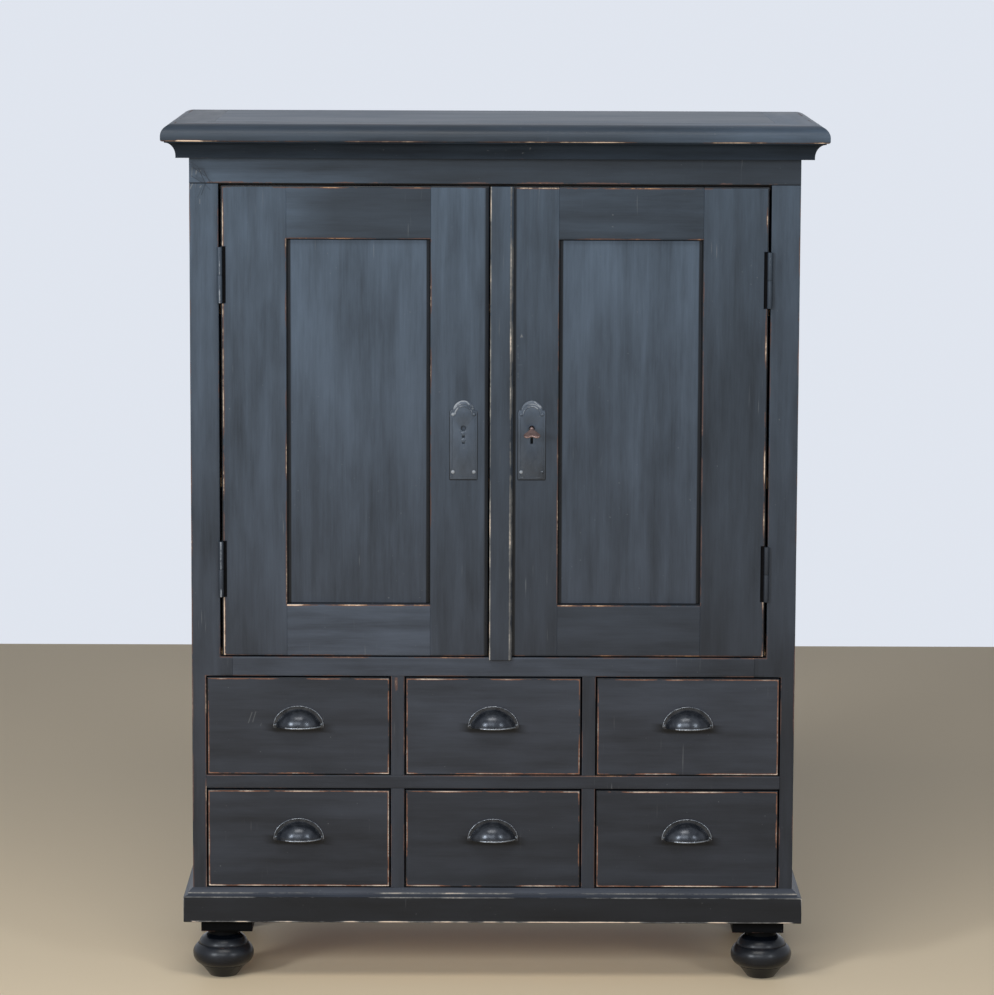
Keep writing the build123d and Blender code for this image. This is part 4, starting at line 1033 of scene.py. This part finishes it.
def doors():
    for name, side in (("left", -1), ("right", 1)):
        body, look, inset = name + "_door", doorLook[name], door["inset"]
        railLow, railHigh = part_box(name + "_door_rails")
        hingeLow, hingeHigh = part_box(name + "_hinge_stile")
        lockLow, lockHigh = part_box(name + "_lock_stile")
        panelLow, panelHigh = railLow.z + door["bottomRail"], railHigh.z - door["topRail"]
        hingeInner, hingeOuter = (hingeHigh.x, hingeLow.x) if side < 0 else (hingeLow.x, hingeHigh.x)
        lockInner, meeting = (lockLow.x, lockHigh.x) if side < 0 else (lockHigh.x, lockLow.x)
        stripEdge = meeting if side < 0 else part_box("cover_strip")[1].x

        # The edges above and beside the door are painted dark as shade, so that the gap looks wider and black.
        bm = cube(hingeLow, hingeHigh)
        reach = hinge["height"] / 2 + hinge["notchMargin"]
        notch = (hingeOuter - side * hinge["notchWidth"], frontFace + hinge["notchDepth"])
        for z in hingeHeights(name):
            carveNotch(bm, (hingeOuter, frontFace), notch, z - reach, z + reach)
        worn, down = {"front top": 0.95, "front bottom": 0.7}, Vector((0, 0, inset))
        inner = upright(hingeInner, panelLow, panelHigh, 0.85)
        lines = edgeLines(hingeLow, hingeHigh, worn)
        lines += [upright(hingeOuter, hingeLow.z, hingeHigh.z, 0.95), inner]
        marks = edgeLines(hingeLow, hingeHigh - down, worn)
        marks += [upright(hingeOuter - side * inset, hingeLow.z, hingeHigh.z, 0.95), inner]
        finishBoard(name + "HingeStile", bm, body, [name + "_hinge_stile"], uprightPaint, lines, marks=marks,
                    rim=[lines[0], lines[2]], rimReach=door["rim"], shade=look["hingeStile"])

        bm = cube(lockLow, lockHigh)
        lockCarving(name, bm)
        lines = edgeLines(lockLow, lockHigh, worn)
        lines += [upright(lockInner, panelLow, panelHigh, 0.76),
                  upright(meeting, lockLow.z, lockHigh.z, 0.35)]
        marks = edgeLines(lockLow, lockHigh - down, worn) + lines[2:]
        # a painted shadow beside the cover strip, and on the right door one beside the chip
        grime = [upright(stripEdge, lockLow.z, lockHigh.z, 0.9)]
        if side > 0:
            grime.append(upright(chip["shadowX"], *chip["shadow"]))
        finishBoard(name + "LockStile", bm, body, [name + "_lock_stile"], uprightPaint, lines, marks=marks,
                    rim=lines[:1] + plateShadow(name), rimReach=door["rim"], shade=look["lockStile"],
                    grime=grime, grimeReach=look["stripShadowReach"], strokes=chip["strokes"] if side > 0 else ())

        x0, x1 = sorted((hingeInner, lockInner))
        board(name + "BottomRail", body, [name + "_door_rails"], (x0, hingeLow.y, railLow.z),
              (x1, hingeHigh.y, panelLow), levelPaint, {"front top": look["lowerEdge"], "front bottom": 0.95},
              shade=look["bottomRail"])
        low, high = Vector((x0, hingeLow.y, panelHigh)), Vector((x1, hingeHigh.y, railHigh.z))
        worn = {"front top": 0.85, "front bottom": 0.85}
        board(name + "TopRail", body, [name + "_door_rails"], low, high, levelPaint, worn,
              marks=edgeLines(low, high - down, worn), rim=edgeLines(low, high, {"front top": 1.0}),
              rimReach=door["rim"],
              shade=lambda at: look["topRail"] + look["railEnd"] * (1 - fadeIn(at.x, x0, 0.07)))

        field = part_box(name + "_panel")
        quirk, face = door["quirk"], frontFace + door["recess"]
        # painted shadows of the stiles run down both sides of the field
        sides = [column(x, face, panelLow, panelHigh, 0.95) for x in (x0 + quirk, x1 - quirk)]
        board(name + "Field", body, [name + "_panel"], (x0 + quirk, face, panelLow + quirk),
              (x1 - quirk, field[1].y, panelHigh - quirk), uprightPaint, grime=sides, grimeReach=0.0062,
              shade=look["panel"])
        # the tongue, seen in the groove, is painted nearly black as shade
        tongueFront, tongueBack = field[1].y - door["tongueThick"], field[1].y - door["tongueBack"]
        board(name + "Tongue", body, [name + "_panel"], (field[0].x, tongueFront, field[0].z),
              (field[1].x, tongueBack, field[1].z), uprightPaint, shade=0.15)


strip = {"chamfer": 0.004, "leftWear": 1.08, "rightWear": 0.96, "sideWear": 0.6}


def coverStrip():
    low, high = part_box("cover_strip")
    chamfer = strip["chamfer"]
    bm = cube(low, high)
    arris = column(high.x, low.y, low.z, high.z, 1.0)
    bevel(bm, [e for e in bm.edges if liesOn(e, arris)], chamfer, 1)
    spots = [(low.x, low.y, strip["leftWear"]), (high.x - chamfer, low.y, strip["rightWear"]),
             (high.x, low.y + chamfer, strip["sideWear"])]
    lines = [column(x, y, low.z, high.z, strength) for x, y, strength in spots]
    finishBoard("coverStrip", bm, "right_door", ["cover_strip"], stripPaint, lines, big=0.0009, reach=0.0034,
                shade=0.78)


doors()
coverStrip()
print("doors ready")


# Drawers
# The pale marks on the lip, the rim bead and the nail heads are partly wear and partly painted highlights.
pull = {"dome": 0.071, "domeRise": 1.08, "radius": 0.026, "end": 0.006, "wall": 0.0016, "flange": 0.083,
        "rise": 0.034, "drop": 0.003, "nails": 0.075, "nailRise": 0.002, "nailHead": 0.0030,
        "nailHeight": 0.0022, "bead": 0.0012, "lip": 0.0013, "lipWearAndHighlight": 0.72, "beadWearAndHighlight": 0.66, "nailWearAndHighlight": 0.6}


def cupFlange():
    # A flat half ring with a raised bead on its outer edge, a little longer below
    bm = bmesh.new()
    half, thick = pull["flange"] / 2, pull["wall"]
    inner = pull["dome"] / 2 - thick
    section = [(inner, 0.0), (half, 0.0), (half, -thick), (inner, -thick)]
    face = bm.faces.new([bm.verts.new((px, py, 0.0)) for px, py in section])
    bmesh.ops.spin(bm, geom=bm.verts[:] + bm.edges[:] + [face], cent=(0, 0, 0), axis=(0, -1, 0),
                   angle=math.pi, steps=36)
    bmesh.ops.recalc_face_normals(bm, faces=bm.faces)
    caps = [f for f in bm.faces if abs(f.normal.z) > 0.99 and abs(f.calc_center_median().z) < 1e-6]
    made = bmesh.ops.extrude_discrete_faces(bm, faces=caps)["faces"]
    bmesh.ops.translate(bm, vec=(0, 0, -pull["drop"]), verts=list({v for f in made for v in f.verts}))
    before = len(bm.verts)
    tube(bm, (half - pull["bead"], -thick, 0), (1, 0, 0), (0, -thick, 0), (0, -1, 0), math.pi, pull["bead"], 36)
    markSince(bm, before, pull["beadWearAndHighlight"])
    for vert in bm.verts:
        if vert.co.z > 0:
            vert.co.z *= pull["rise"] / half
    return bm


def cupPull(name, body, node):
    # The cup is its lip's outline turned a quarter turn up to the drawer front.
    low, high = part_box(node)
    bm = bmesh.new()
    half, radius, wall = pull["dome"] / 2, pull["radius"], pull["wall"]
    sagitta = radius - pull["end"]
    lipRadius = (half * half + sagitta * sagitta) / (2 * sagitta)
    spanAngle = math.degrees(math.asin(half / lipRadius))
    outer = arcPoints((0, lipRadius - radius), (lipRadius, lipRadius), -90 - spanAngle, -90 + spanAngle, 28)
    inner = [(px * (half - wall) / half, min(py + wall, 0.0)) for px, py in reversed(outer)]
    outline = [(-half, 0.0)] + outer + [(half, 0.0), (half - wall, 0.0)] + inner + [(wall - half, 0.0)]
    face = bm.faces.new([bm.verts.new((px, py, 0.0)) for px, py in outline])
    bmesh.ops.spin(bm, geom=bm.verts[:] + bm.edges[:] + [face], cent=(0, 0, 0), axis=(-1, 0, 0),
                   angle=math.radians(90), steps=14)
    bmesh.ops.remove_doubles(bm, verts=bm.verts, dist=1e-6)
    bmesh.ops.scale(bm, vec=(1, 1, pull["domeRise"]), verts=bm.verts)
    start, before = Vector((outer[0][0], outer[0][1], 0.0)), len(bm.verts)
    centre, sweep = Vector((0, lipRadius - radius, 0)), math.radians(2 * spanAngle)
    tube(bm, start, (start - centre).normalized(), centre, (0, 0, 1), sweep, pull["lip"], 28)
    markSince(bm, before, pull["lipWearAndHighlight"])
    merge(bm, cupFlange())
    bmesh.ops.recalc_face_normals(bm, faces=bm.faces)
    before = len(bm.verts)
    for side in (-1, 1):
        stud(bm, (side * pull["nails"] / 2, -wall, pull["nailRise"]), pull["nailHead"], pull["nailHeight"])
    markSince(bm, before, pull["nailWearAndHighlight"])
    bmesh.ops.translate(bm, vec=((low.x + high.x) / 2, frontFace, low.z + pull["drop"]), verts=bm.verts)
    putPiece(name + "Pull", bm, body, [node], castIron, sharp=50)


# The drawer fronts' shades are mostly painted shade, darker in the lower row.
drawer = {"wall": 0.012, "lift": 0.009, "floor": 0.007, "shadowInset": 0.006,
          "wear": {"front left": 0.82, "front right": 0.86, "front top": 0.97, "front bottom": 1.0},
          "shades": {"upper_left": 0.85, "upper_middle": 1.02, "upper_right": 1.02, "lower_left": 0.84,
                     "lower_middle": 0.72, "lower_right": 0.74},
          "strokes": {"upper_left": [(-0.3985, 0.4310, -0.3925, 0.4480, 1.0),
                                     (-0.3915, 0.4325, -0.3865, 0.4490, 0.9),
                                     (-0.3790, 0.4260, -0.3775, 0.4300, 0.6)]}}


def drawers():
    wall, inset = drawer["wall"], drawer["shadowInset"]
    for place, shade in drawer["shades"].items():
        name = place + "_drawer"
        cupLow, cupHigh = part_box(place + "_pull")
        shadow = frontLine(cupLow.x + inset, cupLow.z, cupHigh.x - inset, cupLow.z, 1.0)
        nodeBoard(name + "_front", name, drawerPaint, drawer["wear"], inset=0.0021, rimReach=0.0014,
                  reach=0.0028, grime=[shadow], grimeReach=0.010, grimeFlat=0.5,
                  strokes=drawer["strokes"].get(place, ()), shade=shade)
        low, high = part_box(name + "_box")
        floorLow, floorTop = low.z + drawer["lift"], low.z + drawer["lift"] + drawer["floor"]
        boards = {"SideLeft": (low, (low.x + wall, high.y, high.z), deepPine),
                  "SideRight": ((high.x - wall, low.y, low.z), high, deepPine),
                  "Back": ((low.x + wall, high.y - wall, floorTop), (high.x - wall, high.y, high.z), levelPine),
                  "Floor": ((low.x + wall, low.y, floorLow), (high.x - wall, high.y, floorTop), levelPine)}
        for label, (start, end, material) in boards.items():
            board(name + label, name, [name + "_box"], start, end, material, slot="raw_pine", big=0.001,
                  sag=0.0)
        cupPull(name, name, place + "_pull")


drawers()
print("drawers ready")


# Feet
# A foot's profile, as (radius, height) points up the foot
bun = {"base": 0.022, "step": (0.0375, 0.0195), "belly": (0.050, 0.039), "shoulder": (0.0425, 0.0535),
       "swell": (0.0365, 0.063), "neck": (0.025, 0.071), "top": 0.080}
footBlock = {"size": 0.084}


def fourCorners(x0, x1, y0, y1):
    return {"LeftFront": (x0, y0), "RightFront": (x1, y0), "LeftBack": (x0, y1), "RightBack": (x1, y1)}


def arcThrough(a, b, c, count):
    # The arc of the circle through three points
    ax, ay, bx, by, cx, cy = *a, *b, *c
    aa, bb, cc = ax * ax + ay * ay, bx * bx + by * by, cx * cx + cy * cy
    d = 2 * (ax * (by - cy) + bx * (cy - ay) + cx * (ay - by))
    ux = (aa * (by - cy) + bb * (cy - ay) + cc * (ay - by)) / d
    uy = (aa * (cx - bx) + bb * (ax - cx) + cc * (bx - ax)) / d
    radius = math.hypot(ax - ux, ay - uy)
    start, middle, end = (math.atan2(p[1] - uy, p[0] - ux) for p in (a, b, c))
    turn = (end - start) % (2 * math.pi)
    if (middle - start) % (2 * math.pi) > turn:
        turn -= 2 * math.pi
    return [(ux + radius * math.cos(start + turn * i / count), uy + radius * math.sin(start + turn * i / count))
            for i in range(count + 1)]


def spun(points, centre, steps=64):
    bm = bmesh.new()
    line = [bm.verts.new((centre[0] + r, centre[1], centre[2] + z)) for r, z in points]
    edges = [bm.edges.new(pair) for pair in zip(line, line[1:])]
    bmesh.ops.spin(bm, geom=line + edges, cent=centre, axis=(0, 0, 1), angle=2 * math.pi, steps=steps,
                   use_merge=True)
    bmesh.ops.remove_doubles(bm, verts=bm.verts, dist=1e-6)
    bmesh.ops.recalc_face_normals(bm, faces=bm.faces)
    return bm


def feet():
    low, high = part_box("bun_feet")
    (stepOut, stepZ), (reach, bellyZ), (shoulderOut, shoulderZ) = bun["step"], bun["belly"], bun["shoulder"]
    (neckOut, neckZ), swellZ = bun["neck"], bun["swell"][1]
    profile = [(0.0, 0.0), (bun["base"] - 0.001, 0.0), (bun["base"] + 0.0005, 0.0008),
               (stepOut - 0.002, stepZ - 0.002), (stepOut, stepZ - 0.0008)]
    profile += arcThrough(bun["step"], bun["belly"], bun["shoulder"], 16)
    profile += [(shoulderOut - 0.0012, shoulderZ + 0.0006), (shoulderOut - 0.0022, shoulderZ + 0.0002)]
    profile += arcThrough((shoulderOut - 0.002, shoulderZ + 0.001), bun["swell"], bun["neck"], 8)
    profile += [(0.0, neckZ)]
    for label, (x, y) in fourCorners(low.x + reach, high.x - reach, low.y + reach, high.y - reach).items():
        bm = spun(profile, Vector((x, y, 0.0)))
        wear, grime = bm.verts.layers.float.new("wear"), bm.verts.layers.float.new("grime")
        # a pale ring at the shoulder is partly wear and partly a painted highlight; the neck and the base are
        # darkened as painted shade
        for vert in bm.verts:
            vert[wear] = 0.4 * max(0.0, 1 - abs(vert.co.z - shoulderZ) / 0.002)
            below = (bellyZ - vert.co.z) / (bellyZ - stepZ)
            vert[grime] = 1.0 if vert.co.z > swellZ + 0.002 else min(0.95, max(0.0, below))
        putPiece("foot" + label, bm, "case", ["bun_feet"], turnedPaint, sharp=40, shade=0.42)
        # the neck is its own near-black piece, as painted shade under the foot block
        bm = bmesh.new()
        rod(bm, (x, y, neckZ - 0.001), (x, y, bun["top"]), neckOut, 48)
        putPiece("footNeck" + label, bm, "case", ["bun_feet"], blockPaint, shade=0.08)


def footBlocks():
    low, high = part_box("foot_blocks")
    size = footBlock["size"]
    for label, (x, y) in fourCorners(low.x, high.x - size, low.y, high.y - size).items():
        # the blocks are painted nearly black, as painted shade under the plinth
        board("footBlock" + label, "case", ["foot_blocks"], (x, y, low.z), (x + size, y + size, caseBottom),
              blockPaint, {"front bottom": 0.7, "front left": 0.5, "front right": 0.9}, shade=0.1)


feet()
footBlocks()
print("feet ready")


# Materials for the CAD nodes that stay
def dressFrame():
    # the battens are near-black pine, as painted shade where the strip behind the frieze rail shows through the
    # gap above the doors
    looks = {"drawer_partitions": deepPine, "runners_and_stops": deepPine, "cupboard_floor": levelPine,
             "cupboard_battens": gapShadePine, "bottom_board": levelPine, "lock_case": sheetIron,
             "barrel_plates": sheetIron, "upper_bolt": boltSteel, "lower_bolt": boltSteel,
             "lock_bolt": boltSteel}
    for node, material in looks.items():
        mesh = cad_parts[node].data
        mesh.materials.clear()
        mesh.materials.append(material)


dressFrame()


# Studio
studio = {"floor": (0.80, 0.65, 0.45, 1), "wall": (0.745, 0.785, 0.86, 1), "wallY": 3.05, "ambient": 0.12}


def makeStudio():
    bm = bmesh.new()
    bmesh.ops.create_grid(bm, x_segments=1, y_segments=1, size=1.0)
    bmesh.ops.scale(bm, vec=(14.0, 8.0, 1.0), verts=bm.verts)
    bmesh.ops.translate(bm, vec=(0.0, studio["wallY"] - 8.0, 0.0), verts=bm.verts)
    floor = newObject("floor", meshOf(bm, "floor"))
    material, tree, shader = newMaterial("paleFloor")[:3]
    setInputs(tree, shader, {"Base Color": studio["floor"], "Roughness": 0.6})
    floor.data.materials.append(material)
    world = bpy.data.worlds.new("studio")
    bpy.context.scene.world = world
    world.use_nodes = True
    tree = world.node_tree
    tree.nodes.clear()
    path = add(tree, "LightPath").outputs
    mirrored = calc(tree, "MAXIMUM", path["Is Glossy Ray"], path["Is Transmission Ray"])
    seen = calc(tree, "MAXIMUM", path["Is Camera Ray"], mirrored)
    wall = add(tree, "Background", {"Color": studio["wall"], "Strength": 1.0}).outputs[0]
    ambient = add(tree, "Background", {"Color": (0.85, 0.92, 1.0, 1), "Strength": studio["ambient"]}).outputs[0]
    both = add(tree, "MixShader", {0: seen, 1: ambient, 2: wall}).outputs[0]
    add(tree, "OutputWorld", {"Surface": both})


def areaLamp(name, place, target, width, height, power, colour=(1.0, 1.0, 1.0)):
    data = bpy.data.lights.new(name, "AREA")
    data.shape, data.size, data.size_y = "RECTANGLE", width, height
    data.energy, data.color = power, colour
    lamp = newObject(name, data)
    lamp.location = place
    lamp.rotation_mode = "QUATERNION"
    lamp.rotation_quaternion = (Vector(target) - Vector(place)).to_track_quat("-Z", "Y")


makeStudio()
middle = (0.0, 0.0, 0.8)
areaLamp("leftWindow", (-3.2, -4.2, 1.9), middle, 0.7, 1.2, 122, (0.88, 0.94, 1.0))
areaLamp("rightWindow", (3.2, -4.2, 1.9), middle, 0.7, 1.2, 58, (0.88, 0.94, 1.0))
areaLamp("frontLight", (-0.9, -6.3, 2.9), (0.0, 0.0, 1.1), 3.6, 2.0, 112, (0.9, 0.95, 1.0))
areaLamp("floorLight", (-0.3, -2.3, 3.4), (-0.3, -2.2, 0.0), 2.0, 1.2, 60, (1.0, 0.97, 0.92))
bpy.context.scene.view_settings.view_transform = "Standard"
print("studio ready")
